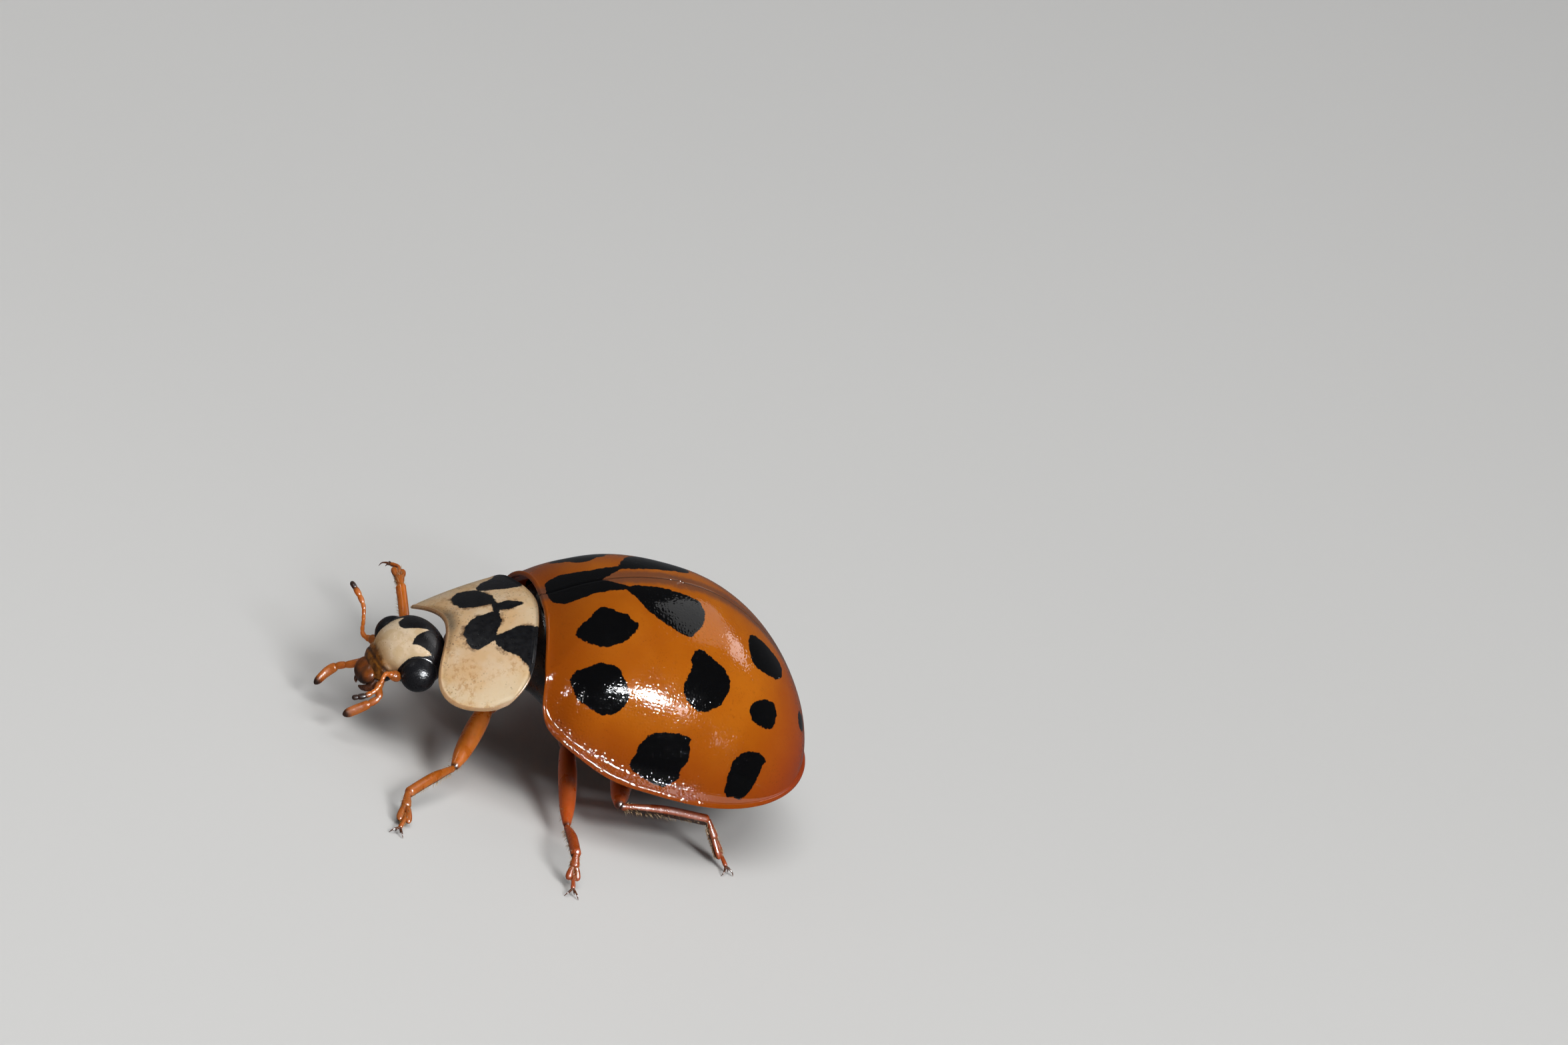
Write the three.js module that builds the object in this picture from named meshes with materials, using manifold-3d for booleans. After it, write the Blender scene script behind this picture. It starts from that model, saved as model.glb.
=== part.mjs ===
// A harlequin ladybird (Harmonia axyridis), life size, standing with one foreleg lifted.
// Millimetres, +Z up, head towards -Y, the beetle's own left side towards +X.
// The body is drawn in a frame of its own: z = 0 is the lowest edge of the wing cases and
// y = 0 is where they are widest. One group then sets the beetle on its feet.
import * as THREE from "three";
import { mergeVertices } from "three/addons/utils/BufferGeometryUtils.js";
import Module from "manifold-3d";

const wasm = await Module();
wasm.setup();

// ---------------------------------------------------------------- driving dimensions
const GAP = 0.03; // clearance between neighbouring pieces
const RIDE_HEIGHT = 1.18; // the floor lies this far below z = 0 of the body

const DOME = {
  halfWidth: 2.5,
  height: 2.563,
  frontLength: 2.838, // superellipse half-axes and powers of the outline, front and rear
  rearLength: 2.966,
  frontPower: 2.523,
  rearPower: 2.353,
  frontRound: 2.207, // how the surface falls from the crown to the edge
  rearRound: 1.956,
  crownPower: 1.599,
  edgeSlope: -0.263, // the edge rises towards the head and again towards the tail
  edgeCurve: 0.347,
  baseY: -2.21, // front edge on the midline, and how it bends at the shoulders
  baseBulge: 0.15,
  shoulderDrop: 1.855,
  shoulderPower: 8,
};
const SHELL_CENTRE = new THREE.Vector3(0, 0.2, 0); // the shell thins towards this point
const SHELL_SCALE = 0.83; // size of the shell's inner face, as a share of its outer face

// The trunk inside the shell, with its outline at this share of the shell's.
const TRUNK = {
  scale: 0.8,
  front: -2.13,
  waist: -0.1, // where the thorax meets the abdomen
  rear: 2.36,
  edge: 0.06,
  belly: 0.3,
  bellyRound: 0.7,
};
const PROTHORAX = { centre: [0, -2.76, 0.32], radii: [1.05, 0.58, 0.5], boxiness: 0.65 };
const SCUTELLUM = { width: 0.42, length: 0.3, depth: 0.12, tilt: 0.72 };

const SHIELD = {
  halfWidth: 1.766,
  middleY: -2.873,
  bend: 0.724, // how far the sides reach forward, and how they fall back at the ends
  endBend: -0.845,
  halfLength: 0.666,
  widening: 0.168,
  endPower: 5.724,
  endRound: 1.5,
  crownZ: 1.351,
  fall: 0.753,
  fallPower: 1.672,
  slope: 0.539,
  sideSlope: 0.331,
  arch: 0.075,
  thickness: 0.34,
};

const HEAD = { x: 0, y: -3.45, z: 0.3, yaw: THREE.MathUtils.degToRad(10) };
const EYE = { x: 0.59, y: -0.545, z: -0.06, radius: 0.29 };

// Limbs are drawn stout, so that each one is a sound solid.
const LEG_PARTS = ["femur", "tibia", "tarsus", "claws"];
const LEG_RADIUS = { femur: 0.28, tibia: 0.24, tarsus: 0.22, claws: 0.16 };
const FEELER_RADIUS = 0.2;

// Feelers in the head's own frame, from their base to their tip.
const ANTENNAE = {
  left: [
    [0.52, -0.82, -0.2], [0.61, -1.11, -0.12], [0.73, -1.21, -0.22],
    [0.8, -1.29, -0.32], [0.83, -1.44, -0.43], [0.77, -1.63, -0.54],
  ],
  right: [
    [-0.56, -0.72, -0.22], [-0.89, -0.85, -0.33], [-1.12, -0.83, -0.16],
    [-1.26, -0.83, -0.02], [-1.43, -0.89, 0.09], [-1.63, -1.0, 0.2],
  ],
};
const PALPS = {
  left: [
    [0.24, -0.86, -0.36], [0.36, -0.99, -0.52], [0.52, -1.02, -0.6],
    [0.53, -1.13, -0.74], [0.49, -1.49, -1.04],
  ],
  right: [
    [-0.28, -0.9, -0.38], [-0.4, -1.14, -0.6], [-0.54, -1.29, -0.75],
    [-0.59, -1.41, -0.92], [-0.54, -1.57, -1.14],
  ],
};

// Joints of each leg: hip, knee, ankle, end of the pads, tip of the claws.
const LEGS = {
  front_left: [
    [0.36, -2.45, -0.27], [1.67, -3.1, -0.74], [2.55, -4.02, -0.88],
    [3.12, -4.13, -1.08], [3.44, -4.29, -1.12],
  ],
  middle_left: [
    [0.75, -1.07, -0.4], [2.52, -1.27, -0.88], [3.68, -1.43, -0.7],
    [3.9, -1.41, -1.04], [4.2, -1.45, -1.12],
  ],
  hind_left: [
    [0.75, -0.1, -0.42], [2.24, -0.46, -0.46], [1.95, 1.18, -0.52],
    [2.12, 1.55, -1.03], [2.4, 1.65, -1.12],
  ],
  front_right: [
    [-0.36, -2.45, -0.27], [-1.72, -3.34, -0.5], [-2.75, -3.38, -0.06],
    [-3.2, -3.35, -0.02], [-3.42, -3.48, -0.08],
  ],
  middle_right: [
    [-0.75, -1.07, -0.4], [-2.48, -1.0, -0.78], [-3.62, -0.98, -0.68],
    [-3.86, -0.96, -1.04], [-4.14, -0.96, -1.12],
  ],
  hind_right: [
    [-0.75, -0.1, -0.42], [-2.3, -0.08, -0.48], [-2.4, 1.52, -0.6],
    [-2.6, 1.86, -1.05], [-2.88, 2.02, -1.12],
  ],
};

// ---------------------------------------------------------------- materials
const finish = (color, roughness) =>
  new THREE.MeshStandardMaterial({ color, roughness, metalness: 0 });
const MATERIALS = {
  wingCase: finish("#c8640f", 0.25),
  shield: finish("#e9d9bf", 0.4),
  black: finish("#17110e", 0.35),
  eye: finish("#0a0a0c", 0.2),
  amber: finish("#a4521a", 0.45),
  claw: finish("#5a2a12", 0.35),
};

// ---------------------------------------------------------------- solids
// Merges shared vertices and drops the triangles that a pinched edge leaves without area.
function tidy(geometry) {
  geometry.deleteAttribute("normal");
  geometry.deleteAttribute("uv");
  const merged = mergeVertices(geometry, 1e-3);
  const index = [];
  for (let i = 0; i < merged.index.count; i += 3) {
    const [a, b, c] = [0, 1, 2].map((k) => merged.index.getX(i + k));
    if (a !== b && b !== c && c !== a) index.push(a, b, c);
  }
  merged.setIndex(index);
  return merged;
}

// Moves every vertex of a geometry to the place that a formula gives for it.
function reshape(geometry, place) {
  const position = geometry.getAttribute("position");
  const at = new THREE.Vector3();
  for (let i = 0; i < position.count; i++) {
    at.fromBufferAttribute(position, i);
    at.copy(place(at));
    position.setXYZ(i, at.x, at.y, at.z);
  }
  return tidy(geometry);
}

// A curved plate: across and along run from -1 to 1, and side is 1 on top and -1 below.
function plate(across, along, place) {
  const box = new THREE.BoxGeometry(2, 2, 2, across, along, 1);
  return reshape(box, (p) => place(p.x, p.y, p.z));
}

// An ellipsoid; a boxiness below 1 fills its corners out.
function ellipsoid(centre, radii, segments = 16, boxiness = 1) {
  const ball = new THREE.SphereGeometry(1, segments, segments / 2);
  const fill = (v) => Math.sign(v) * Math.abs(v) ** boxiness;
  const boxy = reshape(ball, (p) => new THREE.Vector3(fill(p.x), fill(p.y), fill(p.z)));
  return boxy.scale(...radii).translate(...centre);
}

// A limb along smooth points, its radius given for each share of its length.
function limb(points, radiusAt, { sides = 8, steps = 8, grow = 0 } = {}) {
  const path = new THREE.CatmullRomCurve3(points.map((p) => new THREE.Vector3(...p)));
  const frames = path.computeFrenetFrames(steps, false);
  const tube = new THREE.CylinderGeometry(1, 1, 2, sides, steps);
  return reshape(tube, (p) => {
    const share = (1 - p.y) / 2;
    const step = Math.round(share * steps);
    const radius = (radiusAt(share) + grow) * Math.min(1, Math.hypot(p.x, p.z));
    const angle = Math.atan2(p.z, p.x);
    return path
      .getPointAt(share)
      .addScaledVector(frames.normals[step], radius * Math.cos(angle))
      .addScaledVector(frames.binormals[step], radius * Math.sin(angle));
  });
}

const toSolid = (geometry) =>
  new wasm.Manifold(
    new wasm.Mesh({
      numProp: 3,
      vertProperties: geometry.getAttribute("position").array,
      triVerts: new Uint32Array(geometry.index.array),
    }),
  );

function fromSolid(solid) {
  const { vertProperties, triVerts } = solid.getMesh();
  const position = new THREE.BufferAttribute(new Float32Array(vertProperties), 3);
  const geometry = new THREE.BufferGeometry().setAttribute("position", position);
  return geometry.setIndex(new THREE.BufferAttribute(triVerts, 1));
}

// What is left of a geometry once the others are cut from it: its largest piece.
function cut(geometry, ...others) {
  let solid = toSolid(geometry);
  for (const other of others) solid = solid.subtract(toSolid(other));
  const pieces = solid.decompose();
  pieces.sort((a, b) => b.volume() - a.volume());
  return fromSolid(pieces[0]);
}

function join(geometry, ...others) {
  let solid = toSolid(geometry);
  for (const other of others) solid = solid.add(toSolid(other));
  return fromSolid(solid);
}

// ---------------------------------------------------------------- wing cases
const edgeZ = (y) => (DOME.edgeSlope * y) / 2.5 + DOME.edgeCurve * (y / 2.5) ** 2;

function domeZ(x, y) {
  const front = y < 0;
  const length = front ? DOME.frontLength : DOME.rearLength;
  const power = front ? DOME.frontPower : DOME.rearPower;
  const round = front ? DOME.frontRound : DOME.rearRound;
  const r = ((Math.abs(x) / DOME.halfWidth) ** power + (Math.abs(y) / length) ** power) ** (1 / power);
  const rise = Math.max(0, 1 - r ** round) ** (1 / DOME.crownPower);
  return edgeZ(y) + (DOME.height - edgeZ(y)) * rise;
}

// Where the outline lies at a given distance from the midline: front and rear.
function outlineY(x) {
  const u = Math.min(1, x / DOME.halfWidth);
  const reach = (length, power) => length * Math.max(0, 1 - u ** power) ** (1 / power);
  const base = DOME.baseY - DOME.baseBulge * u ** 2 + DOME.shoulderDrop * u ** DOME.shoulderPower;
  return {
    front: Math.max(base, -reach(DOME.frontLength, DOME.frontPower)),
    rear: reach(DOME.rearLength, DOME.rearPower),
  };
}

function elytron() {
  return plate(13, 20, (across, along, face) => {
    const x = DOME.halfWidth * Math.sin(((across + 1) * Math.PI) / 4);
    const { front, rear } = outlineY(x);
    const share = (1 - Math.cos(((along + 1) * Math.PI) / 2)) / 2;
    const y = front + (rear - front) * share;
    const at = new THREE.Vector3(x, y, domeZ(x, y));
    if (face < 0) at.sub(SHELL_CENTRE).multiplyScalar(SHELL_SCALE).add(SHELL_CENTRE);
    at.x = Math.max(at.x, GAP / 2);
    return at;
  });
}

// ---------------------------------------------------------------- thorax shield
function shieldPoint(u, w) {
  const width = SHIELD.halfLength * (1 + SHIELD.widening * u * u);
  const half = width * Math.max(0, 1 - Math.abs(u) ** SHIELD.endPower) ** (1 / SHIELD.endRound);
  const along = half * w;
  const fall = SHIELD.fall * Math.abs(u) ** SHIELD.fallPower;
  const tilt = (SHIELD.slope + SHIELD.sideSlope * u * u) * along;
  return new THREE.Vector3(
    SHIELD.halfWidth * u,
    SHIELD.middleY - SHIELD.bend * u ** 2 - SHIELD.endBend * u ** 4 + along,
    SHIELD.crownZ - fall + tilt - SHIELD.arch * (along / SHIELD.halfLength) ** 2,
  );
}

function pronotum() {
  return plate(16, 8, (across, along, face) => {
    const u = Math.sin((across * Math.PI) / 2);
    const w = Math.sin((along * Math.PI) / 2);
    const at = shieldPoint(u, w);
    if (face < 0) at.z -= 0.1 + SHIELD.thickness * (1 - u * u) * (1 - w * w);
    return at;
  });
}

// ---------------------------------------------------------------- trunk
// The body inside the wing cases: their own outline, drawn smaller, over a rounded belly.
function trunk(front, rear, along) {
  return plate(12, along, (across, length, face) => {
    const y = front + ((rear - front) * (length + 1)) / 2;
    const outerY = SHELL_CENTRE.y + (y - SHELL_CENTRE.y) / TRUNK.scale;
    const reach = outerY < 0 ? DOME.frontLength : DOME.rearLength;
    const power = outerY < 0 ? DOME.frontPower : DOME.rearPower;
    const share = Math.max(0, 1 - (Math.abs(outerY) / reach) ** power) ** (1 / power);
    const u = Math.sin((across * Math.PI) / 2);
    const outerX = DOME.halfWidth * share * u;
    const belly = TRUNK.edge + TRUNK.belly * share * (1 - u * u) ** TRUNK.bellyRound;
    const z = face > 0 ? domeZ(outerX, outerY) : edgeZ(outerY);
    return new THREE.Vector3(TRUNK.scale * outerX, y, TRUNK.scale * z - (face > 0 ? 0 : belly));
  });
}

const prothorax = () => ellipsoid(PROTHORAX.centre, PROTHORAX.radii, 16, PROTHORAX.boxiness);

// The small triangle between the bases of the wing cases, tilted as they are.
function scutellum(grow = 0) {
  const half = SCUTELLUM.width / 2 + grow;
  const outline = new THREE.Shape();
  outline.moveTo(-half, -grow);
  outline.lineTo(half, -grow);
  outline.lineTo(0, SCUTELLUM.length + 2 * grow);
  outline.closePath();
  const depth = SCUTELLUM.depth + 2 * grow;
  const solid = new THREE.ExtrudeGeometry(outline, { depth, bevelEnabled: false });
  solid.translate(0, 0, -SCUTELLUM.depth - grow).rotateX(SCUTELLUM.tilt);
  return tidy(solid.translate(0, DOME.baseY + GAP, domeZ(0, DOME.baseY)));
}

// ---------------------------------------------------------------- head
const eyeball = (side, grow = 0) =>
  ellipsoid([side * EYE.x, EYE.y, EYE.z], [EYE.radius, EYE.radius, EYE.radius].map((r) => r + grow), 14);

function skull(grow = 0) {
  const grown = (radii) => radii.map((r) => r + grow);
  return join(
    ellipsoid([0, -0.42, 0.02], grown([0.68, 0.5, 0.5]), 16),
    ellipsoid([0, -0.66, -0.02], grown([0.5, 0.4, 0.4]), 14),
    ellipsoid([0, -0.92, -0.26], grown([0.4, 0.22, 0.28]), 12),
  );
}

const labrum = (grow = 0) =>
  ellipsoid([0, -1.12, -0.45], [0.3, 0.16, 0.21].map((r) => r + grow), 12);

const mandible = (side, grow = 0) =>
  limb([[side * 0.21, -0.98, -0.58], [side * 0.2, -1.08, -0.68], [side * 0.1, -1.16, -0.74]],
    (share) => 0.11 - 0.05 * share, { sides: 6, steps: 4, grow });

// Feelers narrow at their base and end in a small club.
const feelerRadius = (share) => FEELER_RADIUS * (0.75 + 0.25 * share ** 2);

// ---------------------------------------------------------------- legs
// Each part of a leg is a spindle that narrows at both ends.
const spindle = (radius) => (share) => radius * (0.72 + 0.28 * Math.sin(Math.PI * share) ** 0.6);

function legPart(joints, part, grow = 0) {
  const first = LEG_PARTS.indexOf(part);
  const [start, end] = [joints[first], joints[first + 1]];
  return limb([start, end], spindle(LEG_RADIUS[part]), { steps: 6, grow });
}

// ---------------------------------------------------------------- assembly
const beetle = new THREE.Group();
const head = new THREE.Group();
head.position.set(HEAD.x, HEAD.y, HEAD.z);
head.rotation.z = HEAD.yaw;
beetle.add(head);

function mirrored(geometry) {
  geometry.scale(-1, 1, 1);
  const index = geometry.index.array;
  for (let i = 0; i < index.length; i += 3) {
    [index[i + 1], index[i + 2]] = [index[i + 2], index[i + 1]];
  }
  return geometry;
}

function piece(name, geometry, material, group = beetle) {
  geometry.computeVertexNormals();
  const mesh = new THREE.Mesh(geometry, material);
  mesh.name = name;
  group.add(mesh);
  return mesh;
}

// What stands below the floor is cut away, which leaves a small flat under each foot.
const belowFloor = tidy(new THREE.BoxGeometry(20, 20, 2).translate(0, 0, -1 - RIDE_HEIGHT));

// Wing cases and scutellum.
const shell = cut(elytron(), scutellum(GAP));
piece("elytron_left", shell, MATERIALS.wingCase);
piece("elytron_right", mirrored(shell.clone()), MATERIALS.wingCase);
piece("scutellum", scutellum(), MATERIALS.black);

// Trunk, hollowed where the thighs fold against it.
const thighs = Object.values(LEGS).map((joints) => legPart(joints, "femur", GAP));
const shins = Object.values(LEGS).map((joints) => legPart(joints, "tibia", GAP));
piece("thorax", cut(trunk(TRUNK.front, TRUNK.waist - GAP / 2, 6), ...thighs), MATERIALS.black);
piece("abdomen", cut(trunk(TRUNK.waist + GAP / 2, TRUNK.rear, 9), ...thighs, ...shins), MATERIALS.black);
piece("prothorax", cut(prothorax(), ...thighs), MATERIALS.black);
piece("pronotum", pronotum(), MATERIALS.shield);

// Head and what it carries.
const eyes = [eyeball(1, GAP), eyeball(-1, GAP)];
piece("head", cut(skull(), ...eyes, labrum(GAP)), MATERIALS.shield, head);
piece("labrum", labrum(), MATERIALS.amber, head);
for (const [name, side] of [["left", 1], ["right", -1]]) {
  const antenna = limb(ANTENNAE[name], feelerRadius, { steps: 9 });
  const palp = limb(PALPS[name], feelerRadius, { steps: 7 });
  const nearby = [skull(GAP), labrum(GAP), ...eyes];
  piece("eye_" + name, eyeball(side), MATERIALS.eye, head);
  piece("antenna_" + name, cut(antenna, ...nearby), MATERIALS.amber, head);
  piece("palp_" + name, cut(palp, ...nearby, mandible(side, GAP)), MATERIALS.amber, head);
  piece("mandible_" + name, cut(mandible(side), skull(GAP), labrum(GAP)), MATERIALS.claw, head);
}

// Legs: each part is cut clear of the part that carries it.
for (const [name, joints] of Object.entries(LEGS)) {
  LEG_PARTS.forEach((part, i) => {
    const carriers = LEG_PARTS.slice(0, i).map((other) => legPart(joints, other, GAP));
    const solid = cut(legPart(joints, part), ...carriers, belowFloor);
    piece(part + "_" + name, solid, part === "claws" ? MATERIALS.claw : MATERIALS.amber);
  });
}

// The origin is on the floor, under the middle of the beetle's box.
const object = new THREE.Group();
object.add(beetle);
beetle.updateMatrixWorld(true);
const box = new THREE.Box3().setFromObject(beetle, true);
const middle = box.getCenter(new THREE.Vector3());
beetle.position.set(-middle.x, -middle.y, RIDE_HEIGHT);

export default object;
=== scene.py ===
"""The looks of a harlequin ladybird (Harmonia axyridis), life size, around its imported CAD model.

Shapes are drawn in millimetres in the body's own frame: z = 0 is the lowest edge of the wing cases,
y = 0 is where they are widest, the head lies towards -y and the beetle's own left towards +x.
place() turns them into metres in the row frame.
"""

import math

import bmesh
import bpy
import numpy as np
from mathutils import Matrix, Vector


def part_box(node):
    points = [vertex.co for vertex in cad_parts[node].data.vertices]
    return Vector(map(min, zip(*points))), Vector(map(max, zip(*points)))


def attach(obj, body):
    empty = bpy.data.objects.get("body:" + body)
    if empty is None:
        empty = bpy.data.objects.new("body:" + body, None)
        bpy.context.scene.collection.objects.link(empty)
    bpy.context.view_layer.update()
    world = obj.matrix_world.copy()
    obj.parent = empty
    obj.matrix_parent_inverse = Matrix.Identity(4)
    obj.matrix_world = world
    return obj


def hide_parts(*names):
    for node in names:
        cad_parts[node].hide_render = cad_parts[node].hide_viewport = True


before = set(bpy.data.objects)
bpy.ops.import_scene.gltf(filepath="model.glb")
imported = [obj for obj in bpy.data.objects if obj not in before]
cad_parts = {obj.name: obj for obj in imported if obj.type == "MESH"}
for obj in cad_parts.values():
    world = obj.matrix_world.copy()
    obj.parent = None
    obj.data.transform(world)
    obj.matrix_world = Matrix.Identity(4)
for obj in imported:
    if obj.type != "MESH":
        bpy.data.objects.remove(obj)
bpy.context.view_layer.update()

# ---------------------------------------------------------------- driving dimensions, in millimetres
MM = 0.001
RIDE_HEIGHT = 1.18

HALF_WIDTH, CREST = 2.5, 2.563
FRONT_LENGTH, REAR_LENGTH = 2.838, 2.966
FRONT_POWER, REAR_POWER = 2.523, 2.27
FRONT_ROUND, REAR_ROUND = 2.207, 1.956
CROWN_POWER = 1.599
EDGE_SLOPE, EDGE_CURVE = -0.263, 0.347
BASE_Y, BASE_BULGE, SHOULDER_DROP, SHOULDER_POWER = -2.21, 0.15, 1.855, 8

SHIELD_HALF_WIDTH, SHIELD_Y, SHIELD_BEND, SHIELD_END_BEND = 1.766, -2.873, 0.724, 0.845
SHIELD_LENGTH, SHIELD_WIDENING, SHIELD_POWER, SHIELD_ROUND = 0.666, 0.168, 5.724, 1.5
SHIELD_Z, SHIELD_FALL, SHIELD_FALL_POWER = 1.351, 0.753, 1.672
SHIELD_SLOPE, SHIELD_SIDE_SLOPE, SHIELD_ARCH = 0.539, 0.331, 0.075

HEAD_PIVOT, HEAD_YAW = np.array([0, -3.45, 0.3]), math.radians(10)
EYE_CENTRE, EYE_RADII = np.array([0.59, -0.545, -0.06]), (0.28, 0.29, 0.29)

ANTENNAE = {
    "left": [(0.52, -0.82, -0.2), (0.61, -1.11, -0.12), (0.73, -1.21, -0.22),
             (0.8, -1.29, -0.32), (0.83, -1.44, -0.43), (0.77, -1.63, -0.54)],
    "right": [(-0.56, -0.72, -0.22), (-0.89, -0.85, -0.33), (-1.12, -0.83, -0.16),
              (-1.26, -0.83, -0.02), (-1.43, -0.89, 0.09), (-1.63, -1.0, 0.2)],
}
PALPS = {
    "left": [(0.24, -0.86, -0.36), (0.36, -0.99, -0.52), (0.52, -1.02, -0.6),
             (0.53, -1.13, -0.74), (0.49, -1.49, -1.04)],
    "right": [(-0.28, -0.9, -0.38), (-0.4, -1.14, -0.6), (-0.54, -1.29, -0.75),
              (-0.59, -1.41, -0.92), (-0.54, -1.57, -1.14)],
}

# Joints of each leg: hip, knee, ankle, end of the pads, tip of the claws.
LEGS = {
    "front_left": [(0.36, -2.45, -0.27), (1.67, -3.1, -0.74), (2.55, -4.02, -0.88),
                   (3.12, -4.13, -1.08), (3.44, -4.29, -1.12)],
    "middle_left": [(0.75, -1.07, -0.4), (2.52, -1.27, -0.88), (3.68, -1.43, -0.7),
                    (3.9, -1.41, -1.04), (4.2, -1.45, -1.12)],
    "hind_left": [(0.75, -0.1, -0.42), (2.24, -0.46, -0.46), (1.95, 1.18, -0.52),
                  (2.12, 1.55, -1.03), (2.4, 1.65, -1.12)],
    "front_right": [(-0.36, -2.45, -0.27), (-1.72, -3.34, -0.5), (-2.75, -3.38, -0.06),
                    (-3.2, -3.35, -0.02), (-3.42, -3.48, -0.08)],
    "middle_right": [(-0.75, -1.07, -0.4), (-2.48, -1.0, -0.78), (-3.62, -0.98, -0.68),
                     (-3.86, -0.96, -1.04), (-4.14, -0.96, -1.12)],
    "hind_right": [(-0.75, -0.1, -0.42), (-2.3, -0.08, -0.48), (-2.4, 1.52, -0.6),
                   (-2.6, 1.86, -1.05), (-2.88, 2.02, -1.12)],
}
FEMUR_RADIUS = {"front": 0.18, "middle": 0.165, "hind": 0.2}

# The body's origin in the row frame: the wing cases' box gives its place.
_, shell_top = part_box("elytron_left")
ORIGIN = np.array([
    shell_top.x / MM - HALF_WIDTH,
    shell_top.y / MM - REAR_LENGTH,
    RIDE_HEIGHT,
])

# ---------------------------------------------------------------- small formulas


def smoothstep(value, low, high):
    t = np.clip((value - low) / (high - low), 0, 1)
    return t * t * (3 - 2 * t)


def smooth_max(a, b, radius):
    return 0.5 * (a + b + np.sqrt((a - b) ** 2 + radius ** 2))


def bell(value, centre, width):
    return np.exp(-((value - centre) / width) ** 2)


def unit(vectors):
    vectors = np.asarray(vectors, float)
    return vectors / np.maximum(np.linalg.norm(vectors, axis=-1, keepdims=True), 1e-12)


def grid(x, y, z):
    """Points over a grid from their coordinates."""
    return np.stack(np.broadcast_arrays(x, y, z), axis=-1)


def sphere(rows, columns):
    """Unit directions row by row over a sphere with its poles along x, the poles left out."""
    tilt = np.linspace(0, math.pi, rows)[1:-1, None]
    turn = np.linspace(0, 2 * math.pi, columns, endpoint=False)[None, :]
    return grid(np.cos(tilt), np.sin(tilt) * np.cos(turn), np.sin(tilt) * np.sin(turn))


def last_inside(test, low, high):
    """The largest values between low and high that pass a test, found by halving."""
    for _ in range(30):
        middle = (low + high) / 2
        passed = test(middle)
        low, high = np.where(passed, middle, low), np.where(passed, high, middle)
    return low


def outline_distance(points, outline):
    """Signed distance of plane points from a closed outline, negative inside."""
    start = np.asarray(outline, float)
    end = np.roll(start, -1, axis=0)
    nearest = np.full(len(points), np.inf)
    inside = np.zeros(len(points), bool)
    for a, b in zip(start, end):
        edge = b - a
        from_a = points - a
        share = np.clip(from_a @ edge / (edge @ edge), 0, 1)
        nearest = np.minimum(nearest, np.linalg.norm(from_a - share[:, None] * edge, axis=1))
        spans = (a[1] > points[:, 1]) != (b[1] > points[:, 1])
        rise = np.where(edge[1] == 0, 1, edge[1])
        inside ^= spans & (points[:, 0] < a[0] + edge[0] * (points[:, 1] - a[1]) / rise)
    return np.where(inside, -nearest, nearest)


def rounded(outline, cut=0.22):
    """The closed outline with its corners cut off once."""
    start = np.asarray(outline, float)
    step = cut * (np.roll(start, -1, axis=0) - start)
    return np.stack([start + step, np.roll(start, -1, axis=0) - step], axis=1).reshape(-1, 2)


def smooth_path(points, steps):
    """Evenly spaced points along a Catmull-Rom curve through the given ones, and their directions."""
    p = np.asarray(points, float)
    p = np.vstack([2 * p[0] - p[1], p, 2 * p[-1] - p[-2]])
    fine = []
    for i in range(1, len(p) - 2):
        t = np.linspace(0, 1, 24, endpoint=False)[:, None]
        fine.append(0.5 * (2 * p[i] + (p[i + 1] - p[i - 1]) * t
                           + (2 * p[i - 1] - 5 * p[i] + 4 * p[i + 1] - p[i + 2]) * t ** 2
                           + (3 * p[i] - p[i - 1] - 3 * p[i + 1] + p[i + 2]) * t ** 3))
    fine = np.vstack(fine + [p[-2:-1]])
    length = np.concatenate([[0], np.cumsum(np.linalg.norm(np.diff(fine, axis=0), axis=1))])
    at = np.linspace(0, length[-1], steps)
    path = np.stack([np.interp(at, length, fine[:, k]) for k in range(3)], axis=1)
    return path, unit(np.gradient(path, axis=0))


# ---------------------------------------------------------------- surfaces


class Surface:
    """Points in millimetres, faces over them, and named values at the points."""

    def __init__(self, points, faces, **fields):
        self.points = np.asarray(points, float).reshape(-1, 3)
        self.faces = faces
        self.fields = {k: np.broadcast_to(v, len(self.points)).astype(float) for k, v in fields.items()}

    def moved(self, turn):
        return Surface(turn(self.points), self.faces, **self.fields)


def joined(*surfaces):
    names = sorted({name for s in surfaces for name in s.fields})
    points, faces, fields, first = [], [], {name: [] for name in names}, 0
    for s in surfaces:
        points.append(s.points)
        faces += [tuple(i + first for i in face) for face in s.faces]
        first += len(s.points)
        for name in names:
            fields[name].append(s.fields.get(name, np.zeros(len(s.points))))
    return Surface(np.vstack(points), faces, **{k: np.concatenate(v) for k, v in fields.items()})


def grid_faces(rows, columns, wrap=False, first=0):
    """Quads over a grid of points stored row by row; wrap joins the last column to the first."""
    at = lambda i, j: first + i * columns + j % columns
    return [(at(i, j), at(i, j + 1), at(i + 1, j + 1), at(i + 1, j))
            for i in range(rows - 1) for j in range(columns if wrap else columns - 1)]


def slab(top, bottom, **fields):
    """A closed plate between two grids of the same shape."""
    rows, columns = top.shape[:2]
    count = rows * columns
    faces = grid_faces(rows, columns) + [f[::-1] for f in grid_faces(rows, columns, first=count)]
    border = list(range(columns))
    border += [i * columns + columns - 1 for i in range(1, rows)]
    border += [(rows - 1) * columns + j for j in range(columns - 2, -1, -1)]
    border += [i * columns for i in range(rows - 2, 0, -1)]
    for a, b in zip(border, border[1:] + border[:1]):
        faces.append((b, a, a + count, b + count))
    both = {k: np.concatenate([np.ravel(v), np.ravel(v)]) for k, v in fields.items()}
    return Surface(np.concatenate([top.reshape(-1, 3), bottom.reshape(-1, 3)]), faces, **both)


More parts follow.
